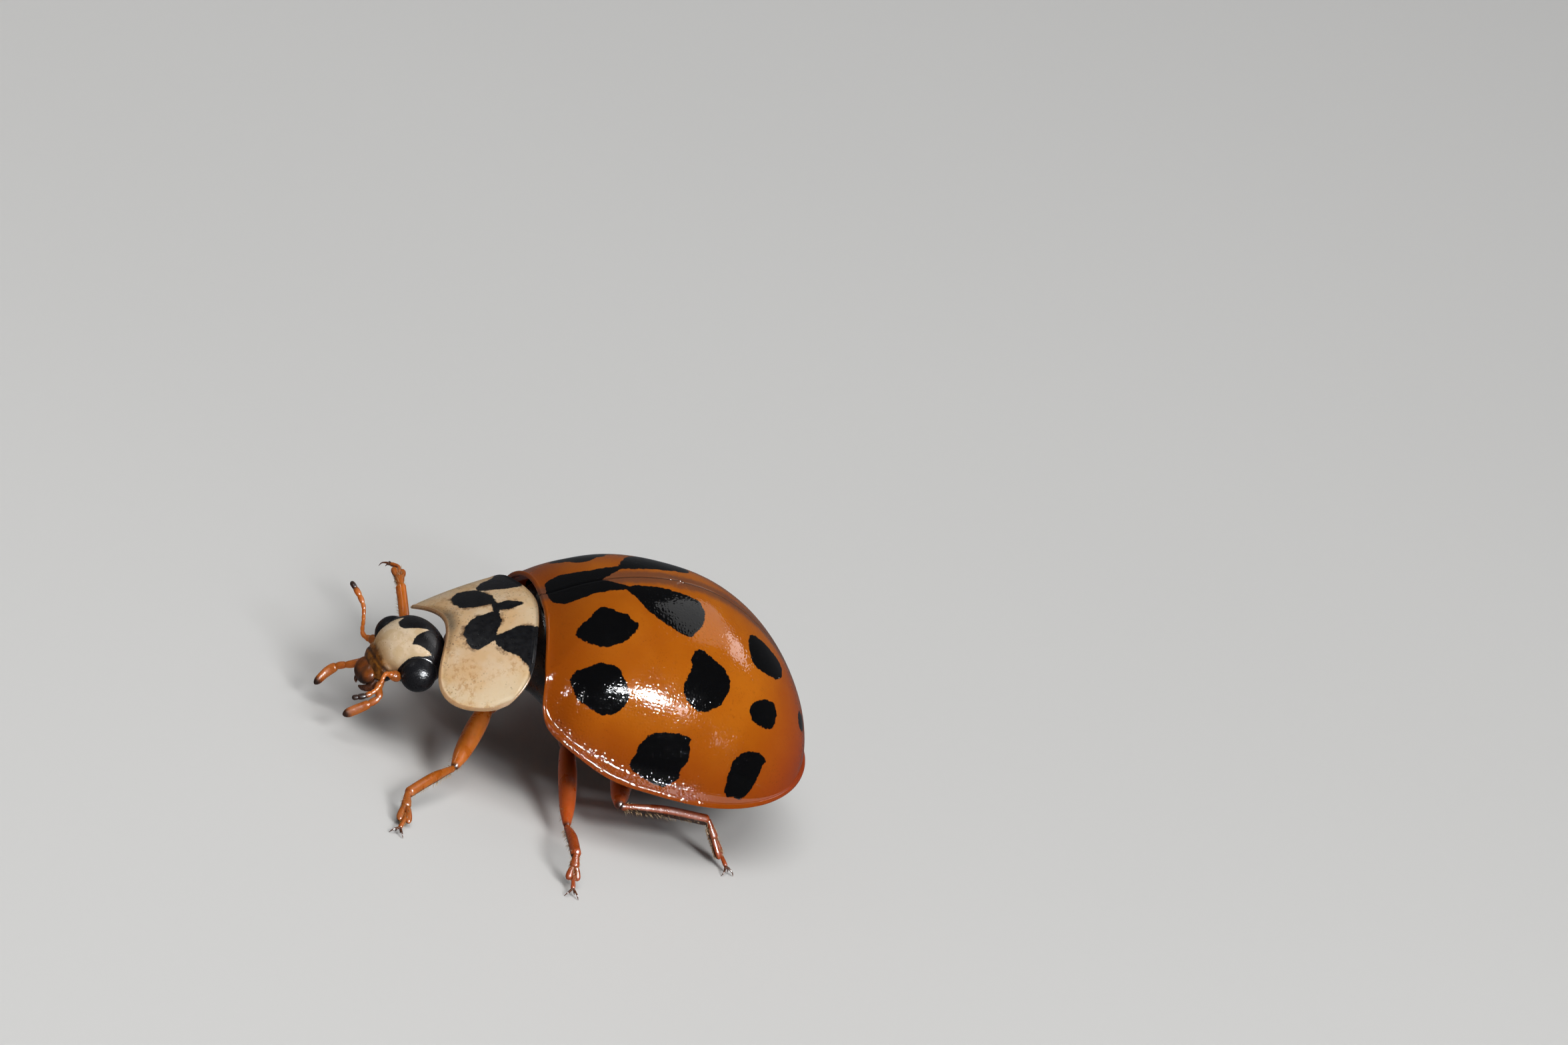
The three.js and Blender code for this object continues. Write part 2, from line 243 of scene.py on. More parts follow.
def loft(rings, **fields):
    """A closed tube over rings of points, with a point in the middle of each end."""
    rows, columns = rings.shape[:2]
    ends = np.stack([rings[0].mean(axis=0), rings[-1].mean(axis=0)])
    points = np.vstack([rings.reshape(-1, 3), ends])
    faces = grid_faces(rows, columns, wrap=True)
    first, last = rows * columns, rows * columns + 1
    for j in range(columns):
        k = (j + 1) % columns
        faces.append((first, k, j))
        faces.append((last, (rows - 1) * columns + j, (rows - 1) * columns + k))
    whole = {}
    for name, value in fields.items():
        value = np.broadcast_to(value, (rows, columns))
        whole[name] = np.concatenate([value.ravel(), [value[0].mean(), value[-1].mean()]])
    return Surface(points, faces, **whole)


def limb_frames(along):
    """Two directions across a limb at each of its points: the first lies nearest to straight up."""
    high = unit((0, 0, 1) - along[:, 2:] * along)
    return high, np.cross(along, high)


def limb(points, high, wide=None, steps=24, sides=20, dusk=None):
    """A limb along smooth points; high and wide give its half-sizes at each share of its length.

    dusk(share, side) may say how dark it is, where side is 1 on top of the limb and -1 below."""
    path, along = smooth_path(points, steps)
    ups, sideways = limb_frames(along)
    share = np.linspace(0, 1, steps)[:, None, None]
    angle = np.linspace(0, 2 * math.pi, sides, endpoint=False)[None, :, None]
    reach = high(share)
    breadth = reach if wide is None else wide(share)
    rings = (path[:, None] + reach * np.cos(angle) * ups[:, None]
             + breadth * np.sin(angle) * sideways[:, None])
    fields = {"dusk": dusk(share[..., 0], np.cos(angle)[..., 0])} if dusk else {}
    return loft(rings, **fields)


def ball(centre, radii, rows=16, columns=24, **fields):
    """An ellipsoid with its poles along x."""
    surface = loft(sphere(rows, columns), **fields)
    surface.points[-2:] = [(1, 0, 0), (-1, 0, 0)]
    surface.points = surface.points * radii + centre
    return surface


# ---------------------------------------------------------------- placing pieces


def head_frame(points):
    """Head-frame points in the body frame."""
    c, s = math.cos(HEAD_YAW), math.sin(HEAD_YAW)
    turn = np.array([[c, -s, 0], [s, c, 0], [0, 0, 1]])
    return np.asarray(points) @ turn.T + HEAD_PIVOT


def mirrored(points):
    return np.asarray(points) * (-1, 1, 1)


def place(name, surface, material, nodes=(), uv=None, merge=1e-4):
    """Makes the surface an object in the row frame that rides on the beetle, above the floor."""
    points = np.array(surface.points, float)
    points[:, 2] = np.maximum(points[:, 2], -RIDE_HEIGHT)
    mesh = bpy.data.meshes.new(name)
    mesh.from_pydata(points.tolist(), [], surface.faces)
    for field, values in surface.fields.items():
        attribute = mesh.attributes.new(field, "FLOAT", "POINT")
        attribute.data.foreach_set("value", values.astype(np.float32))
    if uv is not None:
        layer = mesh.uv_layers.new(name="OFBake")
        corners = np.empty(len(mesh.loops), np.int32)
        mesh.loops.foreach_get("vertex_index", corners)
        layer.data.foreach_set("uv", np.asarray(uv)[corners].ravel().astype(np.float32))
    shape = bmesh.new()
    shape.from_mesh(mesh)
    if merge:
        bmesh.ops.remove_doubles(shape, verts=shape.verts, dist=merge)
        bmesh.ops.dissolve_degenerate(shape, edges=shape.edges, dist=merge / 10)
    bmesh.ops.recalc_face_normals(shape, faces=shape.faces)
    shape.to_mesh(mesh)
    shape.free()
    mesh.transform(Matrix.Scale(MM, 4) @ Matrix.Translation(Vector(ORIGIN)))
    mesh.shade_smooth()
    mesh.materials.append(material)
    piece = bpy.data.objects.new(name, mesh)
    bpy.context.collection.objects.link(piece)
    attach(piece, "root")
    if nodes:
        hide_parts(*nodes)


# ---------------------------------------------------------------- materials


class Finish:
    """Builds one procedural material. Its patterns are measured in millimetres."""

    def __init__(self, name):
        self.material = bpy.data.materials.new(name)
        self.material.use_nodes = True
        self.tree = self.material.node_tree
        self.shader = self.tree.nodes["Principled BSDF"]
        place_node = self.tree.nodes.new("ShaderNodeTexCoord")
        scale = self.vector_math("SCALE", place_node.outputs["Object"])
        scale.inputs["Scale"].default_value = 1 / MM
        self.mm = scale.outputs[0]

    def node(self, kind, **settings):
        node = self.tree.nodes.new(kind)
        for key, value in settings.items():
            setattr(node, key, value)
        return node

    def link(self, source, target):
        """Joins a socket to another, or sets it where the source is a number or a colour."""
        if isinstance(source, bpy.types.NodeSocket):
            self.tree.links.new(source, target)
        elif isinstance(source, (tuple, list)):
            is_colour = len(source) == 3 and len(target.default_value) == 4
            target.default_value = (*source, 1) if is_colour else source
        else:
            target.default_value = source

    def math(self, operation, a, b=0.0):
        node = self.node("ShaderNodeMath", operation=operation)
        self.link(a, node.inputs[0])
        self.link(b, node.inputs[1])
        return node.outputs[0]

    def times(self, a, b):
        return self.math("MULTIPLY", a, b)

    def vector_math(self, operation, *sources):
        node = self.node("ShaderNodeVectorMath", operation=operation)
        for source, target in zip(sources, node.inputs):
            self.link(source, target)
        return node

    def texture(self, kind, size, **settings):
        """A texture node with features of about this size."""
        node = self.node("ShaderNodeTex" + kind, **settings)
        self.link(self.mm, node.inputs["Vector"])
        node.inputs["Scale"].default_value = 1 / size
        return node

    def noise(self, size, detail=2.0, roughness=0.5):
        """Cloudy variation from 0 to 1."""
        node = self.texture("Noise", size)
        node.inputs["Detail"].default_value = detail
        node.inputs["Roughness"].default_value = roughness
        return node.outputs["Fac"]

    def cells(self, size, feature="F1", randomness=1.0):
        """Distance from the nearest of many points about this far apart, or from their cells' edges."""
        node = self.texture("Voronoi", size, feature=feature)
        node.inputs["Randomness"].default_value = randomness
        return node.outputs["Distance"]

    def facets(self, size):
        """A height that leans every cell its own way, one millimetre per millimetre at most."""
        cell = self.texture("Voronoi", size, feature="F1")
        away = self.vector_math("SUBTRACT", self.mm, cell.outputs["Position"])
        lean = self.vector_math("MULTIPLY_ADD", cell.outputs["Color"], (2, 2, 2), (-1, -1, -1))
        tilt = self.vector_math("DOT_PRODUCT", away.outputs[0], lean.outputs[0])
        return self.times(tilt.outputs["Value"], self.ramp(cell.outputs["Distance"], 0.65, 0.25))

    def field(self, name):
        return self.node("ShaderNodeAttribute", attribute_name=name).outputs["Fac"]

    def coordinate(self, axis):
        split = self.node("ShaderNodeSeparateXYZ")
        self.link(self.mm, split.inputs[0])
        return split.outputs[axis]

    def ramp(self, value, low, high, out_low=0.0, out_high=1.0):
        """The value's smooth step from low to high; low may be the larger."""
        node = self.node("ShaderNodeMapRange", interpolation_type="SMOOTHSTEP")
        if low > high:
            low, high, out_low, out_high = high, low, out_high, out_low
        self.link(value, node.inputs["Value"])
        for socket, number in zip(node.inputs[1:5], (low, high, out_low, out_high)):
            socket.default_value = number
        return node.outputs["Result"]

    def clouds(self, size, detail, low, high, out_low=0.0, out_high=1.0):
        """Soft-edged patches of about this size."""
        return self.ramp(self.noise(size, detail), low, high, out_low, out_high)

    def pits(self, size):
        """A height that dips at scattered points about this far apart."""
        return self.ramp(self.cells(size), 0.0, 0.4)

    def mix(self, share, a, b):
        node = self.node("ShaderNodeMix", data_type="RGBA")
        self.link(share, node.inputs["Factor"])
        self.link(a, node.inputs[6])
        self.link(b, node.inputs[7])
        return node.outputs[2]

    def bumps(self, *layers):
        """Adds relief: each layer is a height from 0 to 1 and its depth in millimetres."""
        normal = None
        for height, depth in layers:
            node = self.node("ShaderNodeBump")
            node.inputs["Distance"].default_value = depth * MM
            self.link(height, node.inputs["Height"])
            if normal:
                self.link(normal, node.inputs["Normal"])
            normal = node.outputs["Normal"]
        self.link(normal, self.shader.inputs["Normal"])
        self.link(normal, self.shader.inputs["Coat Normal"])

    def done(self, colour, roughness, soft=None, **sockets):
        """soft is the share of light that goes in, and how far its red, green and blue go there, in mm."""
        if soft:
            reach = tuple(far * MM for far in soft[1:])
            sockets.update(Subsurface_Weight=soft[0], Subsurface_Radius=reach, Subsurface_Scale=1.0)
        self.link(colour, self.shader.inputs["Base Color"])
        self.link(roughness, self.shader.inputs["Roughness"])
        for name, value in sockets.items():
            self.link(value, self.shader.inputs[name.replace("_", " ")])
        return self.material


def ragged(finish, distance, amount=0.03):
    """A marking's distance field with the torn edge that pigment has."""
    coarse = finish.times(finish.math("SUBTRACT", finish.noise(0.12, 1), 0.5), 2 * amount)
    fine = finish.times(finish.math("SUBTRACT", finish.noise(0.035, 1), 0.5), 1.4 * amount)
    return finish.math("ADD", distance, finish.math("ADD", coarse, fine))


def wing_case_finish():
    f = Finish("wing_case")
    height, along = f.coordinate(2), f.coordinate(1)
    orange = f.mix(f.clouds(0.9, 3, 0.3, 0.7), (0.345, 0.081, 0.0022), (0.42, 0.112, 0.0045))
    deep = f.mix(f.ramp(height, 2.7, 1.3, 0, 0.8), orange, (0.225, 0.038, 0.001))
    # Painted shade: the wing case darkens towards its front, where the thorax shield shades it.
    front = f.mix(f.ramp(along, 0.0, -1.0, 0, 0.75), deep, (0.20, 0.036, 0.001))
    red = f.mix(f.ramp(along, 2.4, 4.0, 0, 0.75), front, (0.28, 0.033, 0.008))
    specks = f.times(f.ramp(f.cells(0.045), 0.3, 0.1), f.clouds(0.5, 2, 0.45, 0.65, 0, 0.4))
    mottle = f.times(f.ramp(f.noise(0.07, 3, 0.7), 0.56, 0.72), f.clouds(0.8, 1, 0.4, 0.6, 0, 0.3))
    speckled = f.mix(f.math("MAXIMUM", specks, mottle), red, (0.11, 0.028, 0.003))
    # Painted sheen: a greyish-brown band along the suture stands in for the sky's soft reflection on the
    # suture ridge; the thin dark line after it is the seam itself.
    painted_suture_sheen = f.ramp(ragged(f, f.field("seam"), 0.05), 0.28, 0.10, 0, 0.7)
    with_suture_sheen = f.mix(painted_suture_sheen, speckled, (0.085, 0.042, 0.030))
    line = f.mix(f.ramp(f.field("seam"), 0.022, 0.008, 0, 0.6), with_suture_sheen, (0.02, 0.008, 0.005))
    spots = f.ramp(ragged(f, f.field("spot")), 0.008, -0.008)
    colour = f.mix(spots, line, (0.0015, 0.0015, 0.0018))
    beaded = f.times(f.ramp(f.field("rim"), 0.22, 0.06), f.ramp(along, 2.2, 1.5))
    grains = f.times(f.facets(0.06), beaded)
    f.bumps((f.facets(0.055), 0.065), (grains, 0.45), (f.noise(0.4, 2), 0.003))
    return f.done(colour, f.clouds(0.15, 2, 0.3, 0.7, 0.05, 0.08), soft=(0.1, 0.4, 0.16, 0.05),
                  Specular_IOR_Level=0.22, Coat_Weight=beaded, Coat_Roughness=0.05)


def shield_finish():
    f = Finish("shield")
    smudge = f.field("smudge")
    cream = f.mix(f.clouds(0.45, 3, 0.35, 0.65), (0.64, 0.42, 0.22), (0.68, 0.51, 0.33))
    blotch = f.times(f.ramp(f.noise(0.085, 4, 0.7), 0.46, 0.64), f.clouds(0.55, 2, 0.4, 0.62))
    tan = f.mix(f.times(blotch, 0.65), cream, (0.46, 0.23, 0.075))
    tinted = f.mix(f.ramp(smudge, 0.0, 0.4, 0, 0.5), tan, (0.42, 0.23, 0.08))
    dusty = f.math("MAXIMUM", f.clouds(0.4, 1, 0.5, 0.6, 0, 0.45), f.ramp(smudge, 0.0, 0.2, 0, 0.8))
    dots = f.times(f.ramp(f.cells(0.05), 0.34, 0.16), dusty)
    dotted = f.mix(dots, tinted, (0.14, 0.075, 0.03))
    smudged = f.mix(f.ramp(smudge, 0.0, 1.0, 0, 0.75), dotted, (0.10, 0.085, 0.06))
    rim = f.mix(f.ramp(f.field("rim"), 0.05, 0.012, 0, 0.75), smudged, (0.34, 0.17, 0.075))
    mark = f.field("mark")
    fringe = f.times(f.ramp(ragged(f, mark, 0.07), 0.07, 0.0), f.clouds(0.3, 1, 0.45, 0.6, 0, 0.75))
    fringed = f.mix(fringe, rim, (0.13, 0.055, 0.015))
    black = f.ramp(ragged(f, mark, 0.025), 0.010, -0.010)
    colour = f.mix(black, fringed, (0.003, 0.003, 0.004))
    f.bumps((f.pits(0.045), 0.0016), (f.noise(0.3, 2), 0.006))
    return f.done(colour, f.clouds(0.1, 2, 0.3, 0.7, 0.27, 0.4), soft=(0.2, 0.4, 0.25, 0.12),
                  Specular_IOR_Level=0.3)


def head_finish():
    f = Finish("head")
    clypeus, groove = f.field("clypeus"), f.field("groove")
    clouds = f.noise(0.25, 3)
    cream = f.mix(f.ramp(clouds, 0.35, 0.65), (0.58, 0.42, 0.25), (0.70, 0.55, 0.38))
    specks = f.times(f.ramp(f.cells(0.045), 0.32, 0.12), f.clouds(0.25, 2, 0.45, 0.6, 0, 0.7))
    speckled = f.mix(specks, cream, (0.28, 0.15, 0.06))
    amber = f.mix(f.clouds(0.09, 3, 0.4, 0.62), (0.22, 0.075, 0.006), (0.09, 0.028, 0.003))
    honey = f.mix(f.ramp(clypeus, 0.22, 0.0, 0, 0.75), speckled, (0.40, 0.20, 0.055))
    low = f.ramp(ragged(f, clypeus, 0.03), 0.03, -0.06)
    line = f.times(f.ramp(groove, -0.03, -0.005), f.ramp(groove, 0.03, 0.005))
    faced = f.mix(f.times(line, 0.7), f.mix(low, honey, amber), (0.03, 0.012, 0.005))
    black = f.ramp(ragged(f, f.field("crown"), 0.014), -0.006, 0.006)
    colour = f.mix(black, faced, (0.006, 0.005, 0.006))
    f.bumps((f.pits(0.04), 0.002), (f.noise(0.15, 2), 0.006))
    return f.done(colour, f.ramp(clouds, 0.3, 0.7, 0.22, 0.36), soft=(0.15, 0.3, 0.18, 0.08),
                  Specular_IOR_Level=0.35)


def black_finish():
    f = Finish("black_cuticle")
    dark = f.mix(f.clouds(0.3, 3, 0.35, 0.7), (0.008, 0.006, 0.006), (0.022, 0.013, 0.009))
    colour = f.mix(f.ramp(f.field("edge"), 0.0, 1.0), dark, (0.22, 0.07, 0.015))
    f.bumps((f.pits(0.055), 0.004), (f.noise(0.2, 3), 0.008))
    return f.done(colour, f.clouds(0.12, 2, 0.3, 0.7, 0.24, 0.42))


def eye_finish():
    f = Finish("eye")
    lens = f.cells(0.022, "DISTANCE_TO_EDGE", 0.5)
    colour = f.mix(f.ramp(lens, 0.0, 0.12), (0.003, 0.003, 0.004), (0.012, 0.012, 0.014))
    f.bumps((f.ramp(lens, 0.0, 0.35), 0.0013))
    return f.done(colour, f.clouds(0.2, 1, 0.3, 0.7, 0.22, 0.32), Specular_IOR_Level=0.14)


def amber_finish():
    f = Finish("amber")
    clouds = f.noise(0.22, 3)
    golden = f.mix(f.ramp(clouds, 0.35, 0.65), (0.47, 0.115, 0.006), (0.56, 0.15, 0.011))
    # Partly painted shade: the amber turns darker and redder towards the rear, on the legs that stand in
    # the shade under the wing cases.
    amber = f.mix(f.ramp(f.coordinate(1), -1.6, -0.4, 0, 0.8), golden, (0.45, 0.068, 0.008))
    streaks = f.mix(f.clouds(0.06, 3, 0.55, 0.72, 0, 0.12), amber, (0.16, 0.035, 0.006))
    uneven = f.times(f.math("SUBTRACT", f.noise(0.09, 2), 0.5), 0.16)
    dusk = f.math("ADD", f.field("dusk"), uneven)
    colour = f.mix(f.ramp(dusk, 0.25, 0.85), streaks, (0.025, 0.009, 0.004))
    f.bumps((f.pits(0.03), 0.0016), (f.noise(0.1, 2), 0.006))
    return f.done(colour, f.ramp(clouds, 0.3, 0.7, 0.24, 0.4), soft=(0.3, 0.3, 0.12, 0.04),
                  Specular_IOR_Level=0.4)


def claw_finish():
    f = Finish("claw")
    colour = f.mix(f.clouds(0.08, 2, 0.35, 0.65), (0.06, 0.018, 0.006), (0.12, 0.035, 0.010))
    f.bumps((f.noise(0.04, 2), 0.002))
    return f.done(colour, f.clouds(0.05, 1, 0.3, 0.7, 0.2, 0.32))


def setae_finish(name, pale, dark):
    f = Finish(name)
    colour = f.mix(f.clouds(0.3, 1, 0.35, 0.65), pale, dark)
    f.bumps((f.noise(0.02, 1), 0.0005))
    return f.done(colour, f.clouds(0.2, 1, 0.3, 0.7, 0.3, 0.45))


# ---------------------------------------------------------------- wing cases
def edge_z(y):
    return EDGE_SLOPE * y / HALF_WIDTH + EDGE_CURVE * (y / HALF_WIDTH) ** 2


def dome_z(r, y):
    """Height of the wing cases at a share r of the way from the crest to the rim."""
    rounding = FRONT_ROUND + (REAR_ROUND - FRONT_ROUND) * smoothstep(y, -1.2, 1.2)
    rise = np.maximum(0, 1 - np.minimum(r, 1) ** rounding) ** (1 / CROWN_POWER)
    return edge_z(y) + (CREST - edge_z(y)) * rise


def dome_point(x, y):
    front = y < 0
    length, power = (FRONT_LENGTH, FRONT_POWER) if front else (REAR_LENGTH, REAR_POWER)
    r = ((abs(x) / HALF_WIDTH) ** power + (abs(y) / length) ** power) ** (1 / power)
    return np.array([x, y, dome_z(r, y)])


# Spots of the left wing case: a place (x, y) and an outline around it, in millimetres rearwards
# and towards the suture along the surface. The right wing case mirrors them.
SPOTS = {
    "beside_scutellum": ((0.27, -1.49), [
        (-0.72, 0.0), (-0.64, -0.1), (-0.45, -0.18), (-0.26, -0.13), (0.0, -0.07), (0.5, -0.07),
        (0.9, -0.2), (0.9, -0.08), (0.55, 0.02), (0.4, 0.12), (0.22, 0.24), (0.05, 0.36), (-0.75, 0.4)]),
    "inner_front": ((1.06, -1.34), [
        (-0.56, -0.14), (-0.44, 0.06), (-0.34, 0.1), (-0.26, 0.26), (-0.12, 0.37), (0.04, 0.33),
        (0.12, 0.24), (0.27, 0.24), (0.35, 0.09), (0.48, 0.07), (0.42, -0.1), (0.23, -0.31),
        (0.07, -0.36), (-0.11, -0.41), (-0.31, -0.36), (-0.47, -0.27)]),
    "crown": ((0.67, -0.37), [
        (-0.7, 0.36), (-0.44, 0.4), (-0.15, 0.39), (0.12, 0.37), (0.36, 0.3), (0.55, 0.25), (0.63, 0.06),
        (0.6, -0.22), (0.41, -0.51), (0.25, -0.55), (-0.13, -0.38), (-0.4, -0.16), (-0.58, 0.15)]),
    "shoulder": ((1.87, -1.33), [
        (-0.58, -0.02), (-0.51, 0.15), (-0.36, 0.25), (-0.18, 0.35), (0.16, 0.35), (0.32, 0.1),
        (0.41, -0.08), (0.34, -0.3), (0.11, -0.46), (-0.05, -0.44), (-0.38, -0.31), (-0.47, -0.17)]),
    "middle": ((1.64, 0.31), [
        (-0.29, 0.3), (-0.22, 0.45), (-0.1, 0.47), (0.0, 0.42), (0.31, 0.27), (0.44, 0.12), (0.48, -0.03),
        (0.42, -0.22), (0.32, -0.38), (0.11, -0.52), (-0.07, -0.52), (-0.32, -0.34), (-0.37, -0.17),
        (-0.26, 0.14)]),
    "side": ((2.35, -0.07), [
        (-0.54, -0.24), (-0.47, -0.14), (-0.49, 0.0), (-0.34, 0.27), (-0.07, 0.35), (0.17, 0.35),
        (0.38, 0.32), (0.33, 0.24), (0.42, 0.04), (0.39, -0.14), (0.31, -0.22), (0.39, -0.34),
        (0.17, -0.55), (-0.09, -0.53), (-0.49, -0.39)]),
    "inner_rear": ((0.79, 1.46), [
        (-0.33, 0.28), (-0.12, 0.32), (0.12, 0.29), (0.38, 0.24), (0.55, 0.12), (0.49, -0.16),
        (0.25, -0.31), (-0.14, -0.33), (-0.31, -0.27), (-0.4, 0.0)]),
    "outer_rear": ((1.58, 1.5), [
        (-0.31, -0.07), (-0.29, 0.07), (-0.18, 0.17), (0.05, 0.23), (0.25, 0.22), (0.32, 0.08),
        (0.31, -0.09), (0.23, -0.23), (-0.14, -0.22)]),
    "low_rear": ((2.11, 1.45), [
        (-0.3, 0.14), (-0.17, 0.26), (0.06, 0.33), (0.38, 0.2), (0.27, 0.09), (0.24, -0.24),
        (0.11, -0.51), (-0.27, -0.49), (-0.32, -0.13)]),
    "tail": ((0.84, 2.5), [
        (-0.2, 0.0), (-0.1, 0.16), (0.12, 0.15), (0.2, 0.0), (0.1, -0.16), (-0.12, -0.14)]),
}


def spot_distance(points):
    """Signed distance of wing-case points (left side) from the nearest spot's edge."""
    nearest = np.full(len(points), 1.0)
    for (x, y), outline in SPOTS.values():
        centre = dome_point(x, y)
        slope = [(dome_point(x + dx, y + dy) - dome_point(x - dx, y - dy))[2] / 0.02
                 for dx, dy in ((0.01, 0), (0, 0.01))]
        normal = unit([-slope[0], -slope[1], 1])
        aft = unit(np.array([0, 1, 0]) - normal[1] * normal)
        towards_suture = np.cross(normal, aft)
        offset = points - centre
        near = np.linalg.norm(offset, axis=1) < 1.4
        flat = np.stack([offset[near] @ aft, offset[near] @ towards_suture], axis=1)
        nearest[near] = np.minimum(nearest[near], outline_distance(flat, rounded(outline)))
    return nearest


SHELL_ROWS, SHELL_COLUMNS = 156, 300
SUTURE_GAP = 0.002
LIP = 0.028  # half the thickness of the rim
FLANGE_SLOPE = 0.55


def flange_width(rim_y):
    """Width of the flange: widest along the side, narrow along the base and the tail."""
    side = 0.03 + 0.09 * smoothstep(rim_y, -2.4, -2.0) + 0.06 * smoothstep(rim_y, -1.8, -0.9)
    return side * (1 - 0.7 * smoothstep(rim_y, 0.9, 2.4))


def shell_outline():
    """The left wing case in plan: its outline as if it ran on in front, the share of the way there that
    it reaches, and how far its front edge is what ends it, from 0 to 1."""
    turn = np.radians(np.linspace(-90, 90, SHELL_COLUMNS))
    front = turn < 0
    length = np.where(front, FRONT_LENGTH, REAR_LENGTH)
    power = np.where(front, FRONT_POWER, REAR_POWER)
    c, s = np.maximum(np.cos(turn), 0), np.sin(turn)
    size = (c ** power + np.abs(s) ** power) ** (1 / power)
    rim_x, rim_y = HALF_WIDTH * c / size, length * s / size

    # The front edge cuts the dome short between the rounded shoulders.
    def behind_base(share):
        u = share * rim_x / HALF_WIDTH
        return share * rim_y > BASE_Y - BASE_BULGE * u ** 2 + SHOULDER_DROP * u ** SHOULDER_POWER

    cut = last_inside(behind_base, np.full(SHELL_COLUMNS, 0.5), np.full(SHELL_COLUMNS, 1.3))
    reach = -smooth_max(-cut, -1, 0.008 + 0.035 * bell(np.degrees(turn), -47, 9))
    return rim_x, rim_y, reach, smoothstep(1 - reach, 0.012, 0.07)


def wing_case():
    """The left wing case: a dome that ends in a narrow sloping flange with a rounded lip."""
    rim_x, rim_y, reach, at_base = shell_outline()
    radius = np.hypot(rim_x, rim_y)
    share = (1 - np.linspace(1, 0, SHELL_ROWS) ** 1.8)[:, None]
    r = share * reach
    inset = (reach - r) * radius  # distance from the rim, in plan
    x, y = rim_x * r, rim_y * r
    rim_z = edge_z(y) + at_base * (dome_z(reach, rim_y * reach) - edge_z(rim_y * reach))
    rim_z = rim_z - 0.07 * bell(y, -0.9, 0.6)  # the rim sags in front

    # The dome steepens early, to leave room for the flange.
    width = flange_width(rim_y) / radius
    lean = width + (1 - reach) * (1 - at_base)
    dome = dome_z(r + lean * (r / (reach - width)) ** 6, y)
    flange = rim_z + 2 * LIP + FLANGE_SLOPE * inset + 0.010 * bell(inset, 0.02, 0.02)
    top = smooth_max(dome, flange, 0.11) - 0.016
    top = top - 0.010 * bell(x, 0, 0.025)  # the suture lies in a faint groove

    # Underneath, a narrow shelf follows the rim, and the rest is hollow.
    fold = rim_z + 0.12 * inset
    fold_width = 0.03 + 0.3 * smoothstep(-rim_y, -2.9, -0.5) * (1 - at_base)
    inner = top - 0.09
    bottom = fold + (inner - fold) * smoothstep(inset, 0.8 * fold_width, 1.25 * fold_width)
    bottom = np.minimum(bottom, top - 2 * LIP)

    # The lip's upper and lower faces meet in a half round.
    curl = np.clip(1 - inset / LIP, 0, 1)
    drop = LIP * (1 - np.sqrt(1 - curl ** 2))
    middle = (top + bottom) / 2
    top, bottom = np.maximum(top - drop, middle), np.minimum(bottom + drop, middle)

    x = np.maximum(x, SUTURE_GAP)
    upper = grid(x, y, top)
    spot = spot_distance(upper.reshape(-1, 3))
    return slab(upper, grid(x, y, bottom), spot=spot, rim=top - flange + at_base, seam=x)


def scutellum():
    """The small triangle between the bases of the wing cases."""
    across = np.linspace(-1, 1, 33)[None, :]
    along = np.linspace(0, 1, 25)[:, None]
    x = 0.21 * (1 - along ** 1.3) * across
    y = BASE_Y + 0.03 + 0.22 * along
    tilt = (dome_point(0, -1.8)[2] - dome_point(0, -2.1)[2]) / 0.3
    crest = dome_point(0, BASE_Y)[2] + tilt * 0.22 * along
    puff = 0.035 * (1 - across ** 2) * (1 - (2 * along - 1) ** 2)
    return slab(grid(x, y, crest - 0.02 + puff), grid(x, y, crest - 0.09), edge=0 * x)


# ---------------------------------------------------------------- thorax shield
def shield_point(u, w):
    """The shield's upper face, u across it and w along it, and half its length at u."""
    width = SHIELD_LENGTH * (1 + SHIELD_WIDENING * u * u)
    half = width * np.maximum(0, 1 - np.abs(u) ** SHIELD_POWER) ** (1 / SHIELD_ROUND)
    along = half * w
    z = SHIELD_Z - SHIELD_FALL * np.abs(u) ** SHIELD_FALL_POWER
    z = z + (SHIELD_SLOPE + SHIELD_SIDE_SLOPE * u * u) * along - SHIELD_ARCH * (along / SHIELD_LENGTH) ** 2
    y = SHIELD_Y - SHIELD_BEND * u ** 2 + SHIELD_END_BEND * u ** 4 + along
    return grid(SHIELD_HALF_WIDTH * u, y, z), half


# The shield's black marks, left half, in plan; the right half mirrors them.
SHIELD_MARKS = [
    [(0.22, -3.25), (0.13, -3.1), (0.11, -2.8), (0.4, -2.8), (0.6, -2.88), (0.78, -2.95), (0.88, -3.17),
     (0.8, -3.26), (0.67, -3.32), (0.46, -3.34), (0.3, -3.3)],
    [(0.7, -2.95), (0.62, -2.72), (0.56, -2.54), (0.6, -2.36), (0.7, -2.2), (1.5, -2.25), (1.56, -2.44),
     (1.38, -2.49), (1.17, -2.64), (1.02, -2.82), (0.88, -2.92)],
    [(-0.2, -2.89), (-0.2, -2.41), (0.03, -2.43), (0.1, -2.54), (0.13, -2.66), (0.1, -2.79), (0.16, -2.81),
     (0.16, -2.88)],
]


SHIELD_LIP = 0.022  # how far in the rounding of the margin goes


